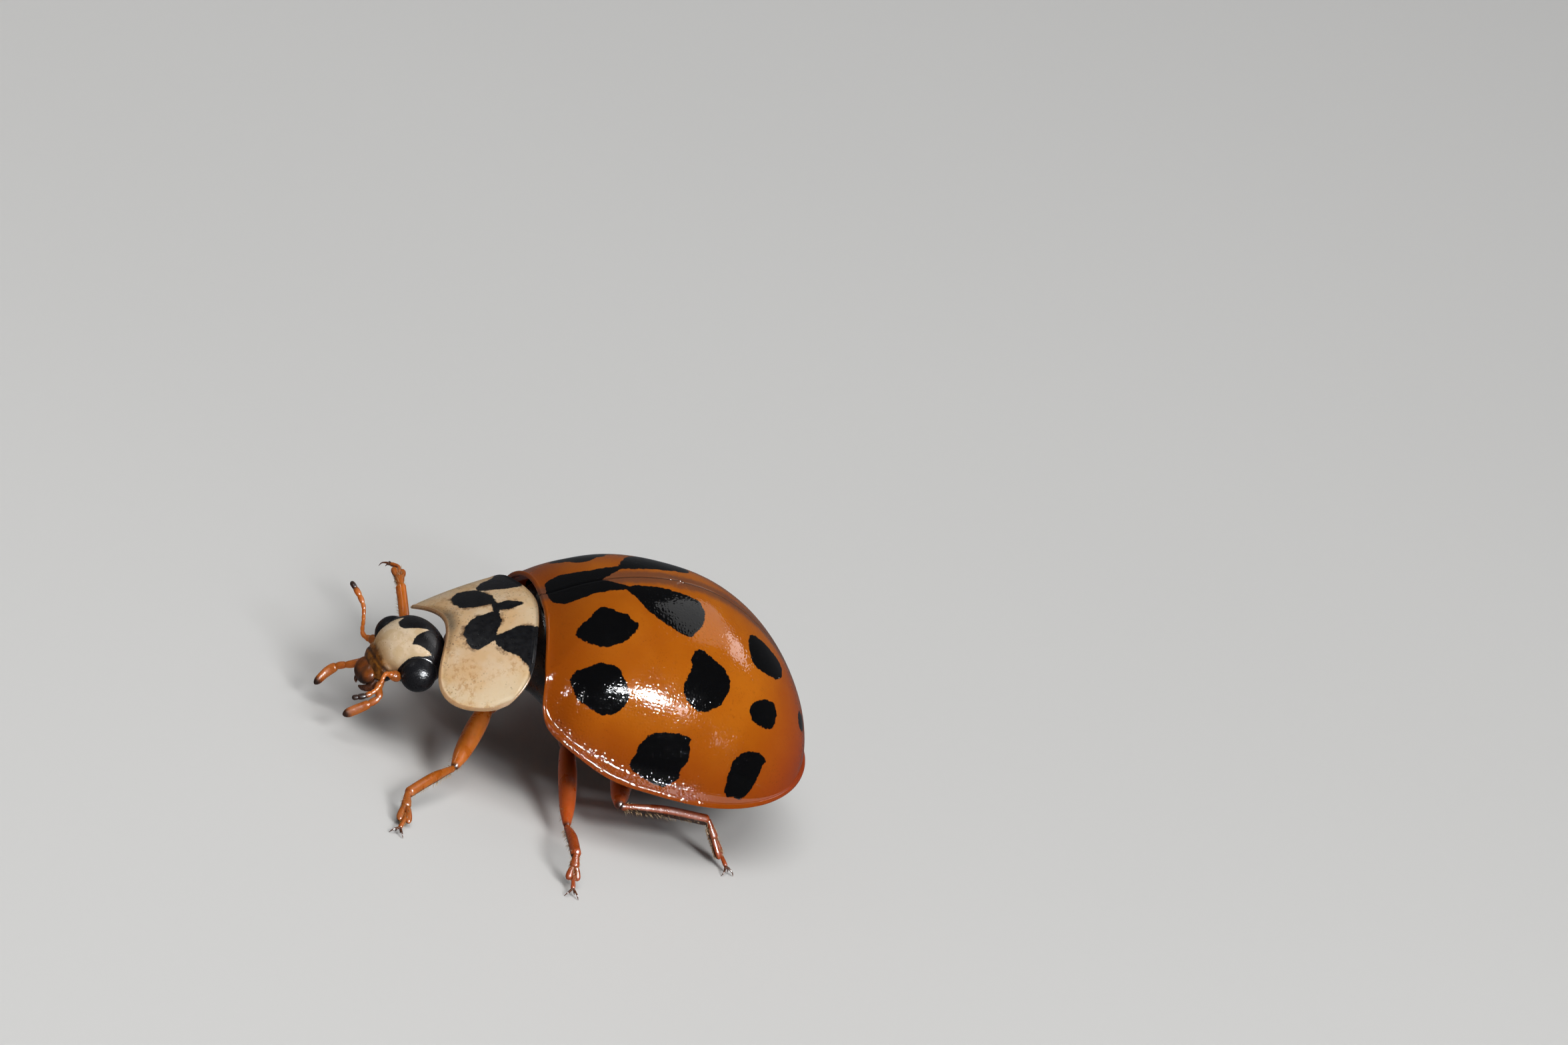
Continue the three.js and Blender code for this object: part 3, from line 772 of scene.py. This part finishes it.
def pronotum():
    """The thorax shield, a curved plate with a thin rounded margin."""
    u = np.sin(np.radians(np.linspace(-90, 90, 221)))[None, :]
    w = np.sin(np.radians(np.linspace(-90, 90, 111)))[:, None]
    top, half = shield_point(u, w)
    margin = np.minimum((1 - np.abs(w)) * half, (1 - np.abs(u)) * SHIELD_HALF_WIDTH * 1.2 + 0 * w)
    bead = 0.01 * bell(margin, SHIELD_LIP, 0.014) - 0.008 * bell(margin, 0.06, 0.025)
    curl = np.clip(1 - margin / SHIELD_LIP, 0, 1)
    drop = SHIELD_LIP * (1 - np.sqrt(1 - curl ** 2))
    top[..., 2] += bead - drop
    thickness = (0.06 + 0.22 * (1 - u * u) * (1 - w * w)) * (1 - curl ** 2)
    bottom = top - np.stack([0 * thickness, 0 * thickness, thickness], axis=-1)
    plan = np.stack([np.abs(top[..., 0]).ravel(), top[..., 1].ravel()], axis=1)
    mark = np.min([outline_distance(plan, outline) for outline in SHIELD_MARKS], axis=0)
    smudge = np.exp(-(((plan[:, 0] - 0.1) / 0.25) ** 2 + ((plan[:, 1] + 3.5) / 0.12) ** 2))
    smudge += 0.6 * np.exp(-(((plan[:, 0] - 0.5) / 0.2) ** 2 + ((plan[:, 1] + 3.6) / 0.1) ** 2))
    return slab(top, bottom, mark=mark, rim=margin, smudge=smudge)


# ---------------------------------------------------------------- head
SKULL_CENTRE = np.array([0, -0.6, -0.05])
SKULL_BALLS = [((0, -0.42, 0.02), (0.68, 0.5, 0.5)), ((0, -0.66, -0.02), (0.5, 0.4, 0.4)),
               ((0, -0.92, -0.26), (0.4, 0.22, 0.28))]
FACE_RADIUS = 0.6  # turns an angle over the face into a distance
# Outline of the cream face: distance from the midline, and angle over the face in degrees.
FACE = [(-0.47, 14), (-0.48, 30), (-0.42, 43), (-0.36, 55), (-0.3, 63), (-0.22, 52), (-0.06, 50),
        (0.03, 54), (0.08, 66), (0.15, 86), (0.22, 70), (0.29, 59), (0.36, 54), (0.42, 62),
        (0.5, 72), (0.57, 80), (0.57, 62), (0.53, 50), (0.5, 34), (0.48, 14), (0.44, 0),
        (0.3, -30), (-0.3, -30), (-0.44, 0)]


def face_angle(points):
    return np.arctan2(points[..., 2] + 0.15, -(points[..., 1] + 0.35))


def skull_gap(points):
    """Negative inside the head capsule."""
    gaps = [(np.linalg.norm((points - centre) / radii, axis=-1) - 1) * min(radii)
            for centre, radii in SKULL_BALLS]
    return -smooth_max(-gaps[2], smooth_max(-gaps[0], -gaps[1], 0.05), 0.03)


def skull():
    """The head capsule, found along rays from its middle, with its fine furrows."""
    rays = sphere(120, 180)
    at = lambda reach: SKULL_CENTRE + rays * reach[..., None]
    within = lambda reach: skull_gap(at(reach)) < 0
    reach = last_inside(within, np.zeros(rays.shape[:2]), np.full(rays.shape[:2], 1.5))
    points = at(reach)
    angle = face_angle(points)
    x = points[..., 0]
    on_face = (np.abs(x) < 0.5) & (points[..., 1] < -0.6)
    groove = angle - np.radians(1 - 40 * x ** 2)
    furrow = 0.016 * bell(groove, 0, 0.045) * on_face
    socket = sum(0.014 * bell(np.linalg.norm(points - EYE_CENTRE * (side, 1, 1), axis=-1), 0.3, 0.02)
                 for side in (-1, 1))
    points = at(reach - furrow + socket)
    angle = face_angle(points)
    outline = [(across, math.radians(a) * FACE_RADIUS) for across, a in FACE]
    plan = np.stack([points[..., 0].ravel(), angle.ravel() * FACE_RADIUS], axis=1)
    crown = outline_distance(plan, outline).reshape(reach.shape)
    clypeus = FACE_RADIUS * (angle - np.radians(13 - 85 * np.minimum(x ** 2, 0.14)))
    surface = loft(points, crown=crown, clypeus=clypeus, groove=FACE_RADIUS * groove)
    return surface.moved(head_frame)


def labrum():
    """The upper lip: a small plate with a notched front edge and rounded corners."""
    lip = ball((0, 0, 0), (1, 1, 1), 28, 40)
    x, y, z = lip.points.T
    notch = 0.25 * bell(x, 0, 0.3) * (y < 0)
    x, y, z = 0.27 * np.sign(x) * np.abs(x) ** 0.85, 0.12 * y * (1 - notch), 0.2 * z
    lean = math.radians(-18)
    forward = y * math.cos(lean) - z * math.sin(lean) - 1.12
    height = y * math.sin(lean) + z * math.cos(lean) - 0.45
    dusk = 0.58 + 0.3 * smoothstep(-height, 0.42, 0.6) + 0.1 * np.sin(14 * x) ** 2
    return Surface(head_frame(grid(x, forward, height)), lip.faces, dusk=dusk)


def mandible(side):
    """A jaw: a curved hook whose tip nearly meets the other's."""
    points = [(side * 0.21, -0.95, -0.52), (side * 0.22, -1.05, -0.62), (side * 0.15, -1.13, -0.69),
              (side * 0.05, -1.16, -0.72)]
    jaw = limb(points, lambda s: 0.085 * (1 - s) ** 0.7 + 0.012, lambda s: 0.06 * (1 - s) ** 0.7 + 0.01,
               steps=26, sides=18)
    return jaw.moved(head_frame)


def segmented(ends, radii, waist=0.72, width=0.35):
    """Radius along a feeler: each segment swells to its own radius between narrow joints."""
    ends, radii = np.asarray(ends), np.asarray(radii)

    def radius(share):
        k = np.clip(np.searchsorted(ends, share, side="right") - 1, 0, len(radii) - 1)
        start, stop = ends[k], ends[k + 1]
        swell = np.sin(math.pi * np.clip((share - start) / (stop - start), 0, 1)) ** width
        return radii[k] * (waist + (1 - waist) * swell)

    return radius


# Segment ends and radii of the antennae and of the palps, from base to tip.
ANTENNA_ENDS = [0, 0.15, 0.22, 0.34, 0.41, 0.48, 0.55, 0.62, 0.7, 0.8, 0.9, 1.0001]
ANTENNA_RADII = [0.088, 0.055, 0.04, 0.034, 0.032, 0.032, 0.033, 0.036, 0.045, 0.05, 0.044]
PALP_ENDS = [0, 0.12, 0.42, 0.58, 1.0001]
PALP_RADII = [0.05, 0.065, 0.06, 0.088]


def rounded_ends(radius, start=0.02, stop=0.04):
    """Closes a limb's ends with a round cap."""
    def capped(share):
        near = np.clip(share / start, 0, 1)
        far = np.clip((1 - share) / stop, 0, 1)
        return radius(share) * np.sqrt(1 - (1 - near) ** 2) * np.sqrt(1 - (1 - far) ** 2) + 1e-4

    return capped


def taper(first, last, start=0.1, stop=0.35):
    """The radius of a limb that changes evenly between its round ends."""
    return rounded_ends(lambda s: first + (last - first) * s, start, stop)


def antenna(side):
    radius = rounded_ends(segmented(ANTENNA_ENDS, ANTENNA_RADII, 0.7))
    darkening = {"left": 0.72, "right": 0.84}[side]  # where the dark tip starts
    dusk = lambda share, across: (0.34 + 0.2 * smoothstep(-share, -0.3, -0.1)
                                  + 0.66 * smoothstep(share, darkening, darkening + 0.12))
    feeler = limb(ANTENNAE[side], radius, steps=150, sides=18, dusk=dusk)
    return feeler.moved(head_frame)


def palp(side):
    radius = rounded_ends(segmented(PALP_ENDS, PALP_RADII, 0.62), stop=0.1)
    flat = lambda share: radius(share) * (1 - 0.3 * smoothstep(share, 0.55, 0.7))
    dusk = lambda share, across: 0.44 + 0.42 * smoothstep(share, 0.84, 0.98)
    feeler = limb(PALPS[side], radius, flat, steps=130, sides=22, dusk=dusk)
    return feeler.moved(head_frame)


def eye(side):
    surface = ball(EYE_CENTRE * (side, 1, 1), EYE_RADII, 72, 96)
    return surface.moved(head_frame)


# ---------------------------------------------------------------- trunk
# Places along the trunk (y) with its half-width there, and the heights of its belly, flank and back.
TRUNK_PLAN = [
    (-3.36, 0.2, 0.15, 0.3, 0.45), (-3.2, 0.65, 0.02, 0.38, 0.68), (-2.95, 0.92, -0.06, 0.48, 0.85),
    (-2.6, 0.88, 0.06, 0.68, 1.0), (-2.35, 0.78, 0.12, 0.8, 1.3), (-2.15, 0.85, 0.2, 0.9, 1.58),
    (-1.9, 1.25, 0.2, 0.74, 1.66), (-1.6, 1.62, 0.06, 0.48, 1.75), (-1.2, 1.85, -0.07, 0.28, 1.85),
    (-0.6, 2.02, -0.16, 0.16, 1.95), (0.1, 2.08, -0.22, 0.1, 2.0), (0.8, 2.02, -0.24, 0.08, 1.9),
    (1.4, 1.82, -0.18, 0.09, 1.65), (1.9, 1.5, -0.06, 0.13, 1.25), (2.3, 1.02, 0.06, 0.2, 0.8),
    (2.55, 0.4, 0.18, 0.28, 0.4),
]
STERNITE_LINES = [0.42, 0.82, 1.2, 1.55, 1.9, 2.22]
THORAX_LINES = [-2.2, -1.72, -0.55]


def trunk():
    """One skin for prothorax, thorax and abdomen, with the furrows between their plates."""
    keys = np.array(TRUNK_PLAN)
    y = np.linspace(keys[0, 0], keys[-1, 0], 300)[:, None]
    blur = np.hanning(15) / np.hanning(15).sum()
    between = [np.interp(y[:, 0], keys[:, 0], keys[:, k]) for k in (1, 2, 3, 4)]
    half, belly, flank, back = (
        np.convolve(np.pad(values, 7, mode="edge"), blur, "valid")[:, None] for values in between)
    turn = np.linspace(0, 2 * math.pi, 200, endpoint=False)[None, :]
    side, up = np.sin(turn), np.cos(turn)
    x = half * side
    under = up < 0
    z = np.where(under, flank + (belly - flank) * np.abs(up) ** 1.3, flank + (back - flank) * np.abs(up))
    below = smoothstep(-up, -0.05, 0.35)
    bowed = y - 0.1 * (x / 2) ** 2
    furrow = sum(bell(bowed, line, 0.02) for line in STERNITE_LINES + THORAX_LINES)
    step = sum(0.025 * smoothstep(bowed, line - 0.32, line) * (bowed < line) for line in STERNITE_LINES)
    z = z + below * (0.03 * np.clip(furrow, 0, 1) - step)
    seam = bell(x, 0, 0.02) * smoothstep(-y, 0.5, 0.9) * smoothstep(-y, -2.1, -1.8)
    z = z + 0.02 * seam * below
    outward = smoothstep(np.abs(side), 0.7, 0.95) * smoothstep(y, 0.1, 0.7)
    rust = below * np.maximum(outward, 0.6 * smoothstep(y, 1.9, 2.4))
    mesothorax = ball((0, -1.88, 1.12), (1.3, 0.3, 0.5), 30, 60, edge=0.0)
    return joined(loft(grid(x, y, z), edge=rust), mesothorax)


# ---------------------------------------------------------------- legs
def femur(joints, size):
    """The thigh: a flattened spindle with its trochanter at the hip."""
    hip, knee = np.array(joints[0]), np.array(joints[1])
    swell = lambda s: size * (0.5 + 0.5 * np.sin(math.pi * np.clip(0.08 + 0.92 * s, 0, 1) ** 0.85) ** 0.8)
    high = rounded_ends(lambda s: swell(s) * (1 - 0.28 * smoothstep(s, 0.75, 1)), 0.05, 0.06)
    wide = lambda s: 0.9 * high(s)
    dusk = lambda s, across: 0.75 * smoothstep(s, 0.9, 0.99)
    return limb([hip, (hip + knee) / 2 + (0, 0, 0.03), knee + 0.02 * unit(knee - hip)], high, wide,
                steps=60, sides=36, dusk=dusk)


def tibia(joints, size, tone, dark):
    """The shin: slender at the knee, wider at the ankle, with a dark knee and a dark lower edge.

    tone is how dusky the rest is; the edge starts at dark, between -1 on top of the limb and 1 below."""
    knee, ankle = np.array(joints[1]), np.array(joints[2])
    high = rounded_ends(lambda s: size * (0.62 + 0.38 * smoothstep(s, 0.05, 0.5)), 0.03, 0.03)
    wide = lambda s: 0.85 * high(s)
    bow = (knee + ankle) / 2 + np.array([0, 0, 0.04])
    edge = lambda s, across: 0.55 * smoothstep(-across, dark, dark + 0.5) * smoothstep(s, 0.0, 0.2)
    dusk = lambda s, across: np.maximum(tone + edge(s, across), 0.8 * bell(s, 0, 0.06))
    return limb([knee, bow, ankle], high, wide, steps=60, sides=30, dusk=dusk)


def tarsus(joints):
    """The foot's segments: a cone, a pair of soft lobes and the slender claw segment."""
    ankle, pads, tip = (np.array(joints[k]) for k in (2, 3, 4))
    along, ahead = pads - ankle, unit(pads - ankle)
    sideways = unit(np.cross(ahead, (0, 0, 1)))
    darker_below = lambda level: lambda s, across: 0.48 + level * smoothstep(-across, -0.2, 0.8)
    first = limb([ankle - 0.03 * ahead, ankle + 0.28 * along, ankle + 0.52 * along],
                 taper(0.045, 0.08, 0.08, 0.2), taper(0.045, 0.09, 0.08, 0.2),
                 steps=28, sides=22, dusk=darker_below(0.4))
    lobes = []
    for side in (-1, 1):
        start = ankle + 0.42 * along + side * 0.02 * sideways
        stop = ankle + 1.02 * along + side * 0.075 * sideways
        bow = (start + stop) / 2 + side * 0.015 * sideways
        lobes.append(limb([start, bow, stop], taper(0.042, 0.062), taper(0.04, 0.065),
                          steps=24, sides=18, dusk=darker_below(0.45)))
    stem = limb([ankle + 0.7 * along, pads + (0, 0, 0.04), pads + 0.5 * (tip - pads) + (0, 0, 0.035),
                 pads + 0.72 * (tip - pads) + (0, 0, 0.02)],
                taper(0.024, 0.038, 0.05, 0.12), steps=34, sides=16, dusk=darker_below(0.3))
    return joined(first, stem, *lobes)


def claws(joints):
    """Two curved claws that spread from the end of the foot, each with a tooth at its base."""
    pads, tip = np.array(joints[3]), np.array(joints[4])
    ahead = unit(tip - pads)
    sideways = unit(np.cross(ahead, (0, 0, 1)))
    root = pads + 0.68 * (tip - pads) + (0, 0, 0.02)
    hooks = []
    for side in (-1, 1):
        out = side * sideways
        hook = [root, root + 0.06 * ahead + 0.035 * out + (0, 0, 0.012),
                root + 0.12 * ahead + 0.085 * out - (0, 0, 0.01),
                root + 0.13 * ahead + 0.12 * out - (0, 0, 0.07)]
        tooth = [root + 0.02 * ahead + 0.015 * out, root + 0.05 * ahead + 0.03 * out - (0, 0, 0.02),
                 root + 0.06 * ahead + 0.045 * out - (0, 0, 0.055)]
        hooks.append(limb(hook, lambda s: 0.02 * (1 - s) ** 0.7 + 0.002, steps=22, sides=12))
        hooks.append(limb(tooth, lambda s: 0.015 * (1 - s) ** 0.7 + 0.002, steps=12, sides=10))
    return joined(*hooks)


def hip_joint(joints):
    """Coxa and trochanter, which carry the thigh."""
    hip, knee = np.array(joints[0]), np.array(joints[1])
    ahead = unit(knee - hip)
    coxa = ball(hip + (0, 0, 0.15) - 0.1 * ahead, (0.25, 0.18, 0.3), 18, 26, dusk=0.6)
    trochanter = ball(hip + 0.14 * ahead - (0, 0, 0.03), (0.13, 0.1, 0.11), 14, 20, dusk=0.2)
    return joined(coxa, trochanter)


# ---------------------------------------------------------------- setae
PATCH = 0.00075  # size of a seta's patch on the bake map


def hairs(roots, directions, lengths, radius, places):
    """Thin bent cones, and for each a patch on the bake map at its root's place."""
    directions, count = unit(directions), len(roots)
    side = unit(np.cross(directions, (0.31, 0.2, 0.93)))
    other = np.cross(directions, side)
    reach, sag = lengths[:, None] * directions, lengths[:, None] * (0, 0, -1)
    points, patch = [], []
    for height, thickness in ((0.0, 1.0), (0.55, 0.7)):
        for angle in np.radians((0, 120, 240)):
            c, s = math.cos(angle), math.sin(angle)
            spread = thickness * radius * (c * side + s * other)
            points.append(roots + height * (reach + 0.06 * sag) + spread)
            patch.append(places + PATCH * (1 + height) * np.array([c, s]))
    points.append(roots + reach + 0.18 * sag)
    patch.append(places)
    points = np.stack(points, axis=1).reshape(-1, 3)
    uv = np.clip(np.stack(patch, axis=1).reshape(-1, 2), 0, 1)
    one = [(2, 1, 0), (0, 1, 4, 3), (1, 2, 5, 4), (2, 0, 3, 5), (3, 4, 6), (4, 5, 6), (5, 3, 6)]
    faces = [tuple(7 * i + k for k in face) for i in range(count) for face in one]
    return Surface(points, faces), uv


def limb_hairs(random, points, cell, count, radius, length, thickness, lean, span, below=False):
    """Setae over a limb of this radius, leaning towards its tip. below keeps them to its sole.

    cell is the range of the bake map that they may take up, span the stretch of the limb."""
    path, along = smooth_path(points, 60)
    ups, sideways = limb_frames(along)
    share = random.uniform(*span, count)
    angle = random.uniform(0, 2 * math.pi, count)
    if below:
        angle = math.pi + random.uniform(-0.9, 0.9, count)
    k = (share * (len(path) - 1)).round().astype(int)
    out = np.cos(angle)[:, None] * ups[k] + np.sin(angle)[:, None] * sideways[k]
    roots = path[k] + 0.92 * radius * out + along[k] * random.uniform(-0.01, 0.01, (count, 1))
    directions = out + lean * along[k] + random.normal(0, 0.12, (count, 3))
    places = np.stack([cell[0] + (cell[1] - cell[0]) * share, angle / (2 * math.pi) % 1], axis=1)
    return hairs(roots, directions, length * random.uniform(0.6, 1.15, count), thickness, places)


# Setae on the thigh, the shin and the foot: the joint that the stretch starts at, how many there are,
# the limb's radius, their length and thickness, how far they lean, and the part that has them.
LEG_SETAE = [
    (0, 90, 0.1, 0.07, 0.0035, 1.2, (0.35, 0.95)),
    (1, 260, 0.06, 0.085, 0.0035, 1.0, (0.05, 0.95)),
    (2, 130, 0.06, 0.07, 0.0035, 0.9, (0.05, 0.95)),
]
SOLE_SETAE = (420, 0.05, 0.055, 0.004, 0.25, (0.2, 1.0))


def gather(batches):
    """One surface and one map from several batches of setae."""
    return joined(*[b[0] for b in batches]), np.vstack([b[1] for b in batches])


# ---------------------------------------------------------------- assembly
WING_CASE, SHIELD, HEAD = wing_case_finish(), shield_finish(), head_finish()
BLACK, EYE, AMBER, CLAW = black_finish(), eye_finish(), amber_finish(), claw_finish()
SETAE = {
    "leg_setae": setae_finish("pale_setae", (0.62, 0.42, 0.20), (0.40, 0.22, 0.08)),
    "sole_setae": setae_finish("golden_setae", (0.62, 0.36, 0.10), (0.42, 0.19, 0.05)),
}

left_case = wing_case()
place("wing_case_left", left_case, WING_CASE, ["elytron_left"])
place("wing_case_right", left_case.moved(mirrored), WING_CASE, ["elytron_right"])
place("scutellum_plate", scutellum(), BLACK, ["scutellum"])
place("shield", pronotum(), SHIELD, ["pronotum"])
place("trunk_skin", trunk(), BLACK, ["thorax", "abdomen", "prothorax"])
place("head_skin", skull(), HEAD, ["head"])
place("upper_lip", labrum(), AMBER, ["labrum"])

for name, side in (("left", 1), ("right", -1)):
    place("compound_eye_" + name, eye(side), EYE, ["eye_" + name])
    place("feeler_" + name, antenna(name), AMBER, ["antenna_" + name])
    place("mouth_palp_" + name, palp(name), AMBER, ["palp_" + name])
    place("jaw_" + name, mandible(side), CLAW, ["mandible_" + name])

random = np.random.default_rng(7)
leg_setae, sole_setae = [], []
for index, (name, joints) in enumerate(LEGS.items()):
    size = FEMUR_RADIUS[name.split("_")[0]]
    # Painted light and shade: each shin's darkness follows how it is lit, so the lifted front-right shin,
    # out in the light, is painted the palest.
    tone = 0.15 if name == "front_right" else 0.45  # the lifted shin is the palest
    dark = -0.25 if "hind" in name else 0.05
    shin = tibia(joints, 0.095, tone, dark)
    limbs = joined(hip_joint(joints), femur(joints, size), shin, tarsus(joints))
    place("leg_" + name, limbs, AMBER,
          [part + "_" + name for part in ("femur", "tibia", "tarsus")], merge=0)
    place("hooks_" + name, claws(joints), CLAW, ["claws_" + name], merge=0)
    cell = (index / len(LEGS), (index + 1) / len(LEGS) - 0.01)
    for start, *setae in LEG_SETAE:
        leg_setae.append(limb_hairs(random, joints[start:start + 2], cell, *setae))
    sole_setae.append(limb_hairs(random, joints[2:4], cell, *SOLE_SETAE, below=True))
for name, batches in (("leg_setae", leg_setae), ("sole_setae", sole_setae)):
    surface, uv = gather(batches)
    place(name, surface, SETAE[name], uv=uv, merge=0)


# ---------------------------------------------------------------- stage
def floor():
    mesh = bpy.data.meshes.new("floor")
    half = 0.4
    corners = [(-half, -half, 0), (half, -half, 0), (half, half, 0), (-half, half, 0)]
    mesh.from_pydata(corners, [], [(0, 1, 2, 3)])
    f = Finish("floor")
    tone = f.mix(f.clouds(40, 2, 0.3, 0.7), (0.60, 0.595, 0.58), (0.62, 0.615, 0.60))
    mesh.materials.append(f.done(tone, 0.6))
    thing = bpy.data.objects.new("floor", mesh)
    bpy.context.collection.objects.link(thing)
    thing.visible_glossy = False


def towards(azimuth, elevation):
    """The direction from the beetle to what stands there: 0 is in front of it, 90 on its left."""
    a, e = math.radians(azimuth), math.radians(elevation)
    return Vector((math.sin(a) * math.cos(e), -math.cos(a) * math.cos(e), math.sin(e)))


def softbox(name, azimuth, elevation, distance, size, power, tilt=0.0, colour=(1, 1, 1), mirrored=True):
    """An area light that faces the beetle, seen in its reflections only, or by its even light only.

    Angles are in degrees, the distance and the size in millimetres, the power in watts."""
    light = bpy.data.lights.new(name, "AREA")
    light.shape = "RECTANGLE"
    light.size, light.size_y = size[0] * MM, size[1] * MM
    light.energy = power
    light.color = colour
    lamp = bpy.data.objects.new(name, light)
    away = towards(azimuth, elevation)
    lamp.location = (Vector(ORIGIN + (0, 0, 1)) + away * distance) * MM
    facing = away.to_track_quat("Z", "Y").to_matrix() @ Matrix.Rotation(math.radians(tilt), 3, "Z")
    lamp.rotation_euler = facing.to_euler()
    lamp.visible_glossy, lamp.visible_diffuse = mirrored, not mirrored
    bpy.context.collection.objects.link(lamp)


def lights():
    world = bpy.data.worlds.new("studio")
    world.use_nodes = True
    sky = world.node_tree.nodes["Background"]
    sky.inputs["Color"].default_value = (0.93, 0.95, 1.0, 1)
    sky.inputs["Strength"].default_value = 0.10
    bpy.context.scene.world = world
    rosy, bluish = (1.0, 0.93, 0.93), (0.94, 0.97, 1.0)
    softbox("key", 112, 44, 160, (60, 40), 0.13, mirrored=False)
    softbox("top", 60, 75, 200, (170, 130), 0.26, mirrored=False)
    softbox("sky", -150, 54, 170, (110, 90), 0.05)
    softbox("glint", 108, 30, 160, (28, 11), 2.0, tilt=-10, colour=bluish)
    softbox("glint_strip", 97, 31, 160, (64, 9), 0.2, tilt=-8, colour=bluish)
    softbox("glint_tail", 119, 25, 160, (8, 20), 0.012, tilt=-40)
    softbox("glint_brow", -30, 41, 170, (10, 6), 0.03)
    softbox("glint_rear", -167, 42, 170, (50, 26), 0.035, colour=rosy)
    softbox("glint_front", 52, 21, 170, (5, 18), 0.03)
    softbox("glint_side", 132, 13, 170, (4, 26), 0.0035, colour=rosy)


# Angles in degrees; the distance and the aim beside the body's origin in millimetres.
CAMERA = {"azimuth": 66.865, "elevation": 25.953, "roll": 23.234, "distance": 190, "lens": 271.65,
          "aim_right": 2.514, "aim_up": 3.082}


def camera():
    """Looks past the body's origin, which keeps the beetle left of and below the middle."""
    back, roll = towards(CAMERA["azimuth"], CAMERA["elevation"]), math.radians(CAMERA["roll"])
    level = (-back).cross(Vector((0, 0, 1))).normalized()
    above = level.cross(-back)
    right = math.cos(roll) * level + math.sin(roll) * above
    up = -math.sin(roll) * level + math.cos(roll) * above
    origin = Vector(ORIGIN)
    stand = origin + CAMERA["distance"] * back
    target = origin + CAMERA["aim_right"] * right + CAMERA["aim_up"] * up
    forward = (target - stand).normalized()
    right = (right - right.dot(forward) * forward).normalized()
    up = right.cross(forward)
    data = bpy.data.cameras.new("camera")
    data.sensor_width = 36
    data.lens = CAMERA["lens"]
    data.clip_start, data.clip_end = 0.01, 10
    view = bpy.data.objects.new("camera", data)
    turn = Matrix((right, up, -forward)).transposed().to_4x4()
    view.matrix_world = Matrix.Translation(stand * MM) @ turn
    bpy.context.collection.objects.link(view)
    bpy.context.scene.camera = view


floor()
lights()
camera()
bpy.context.scene.view_settings.view_transform = "Standard"
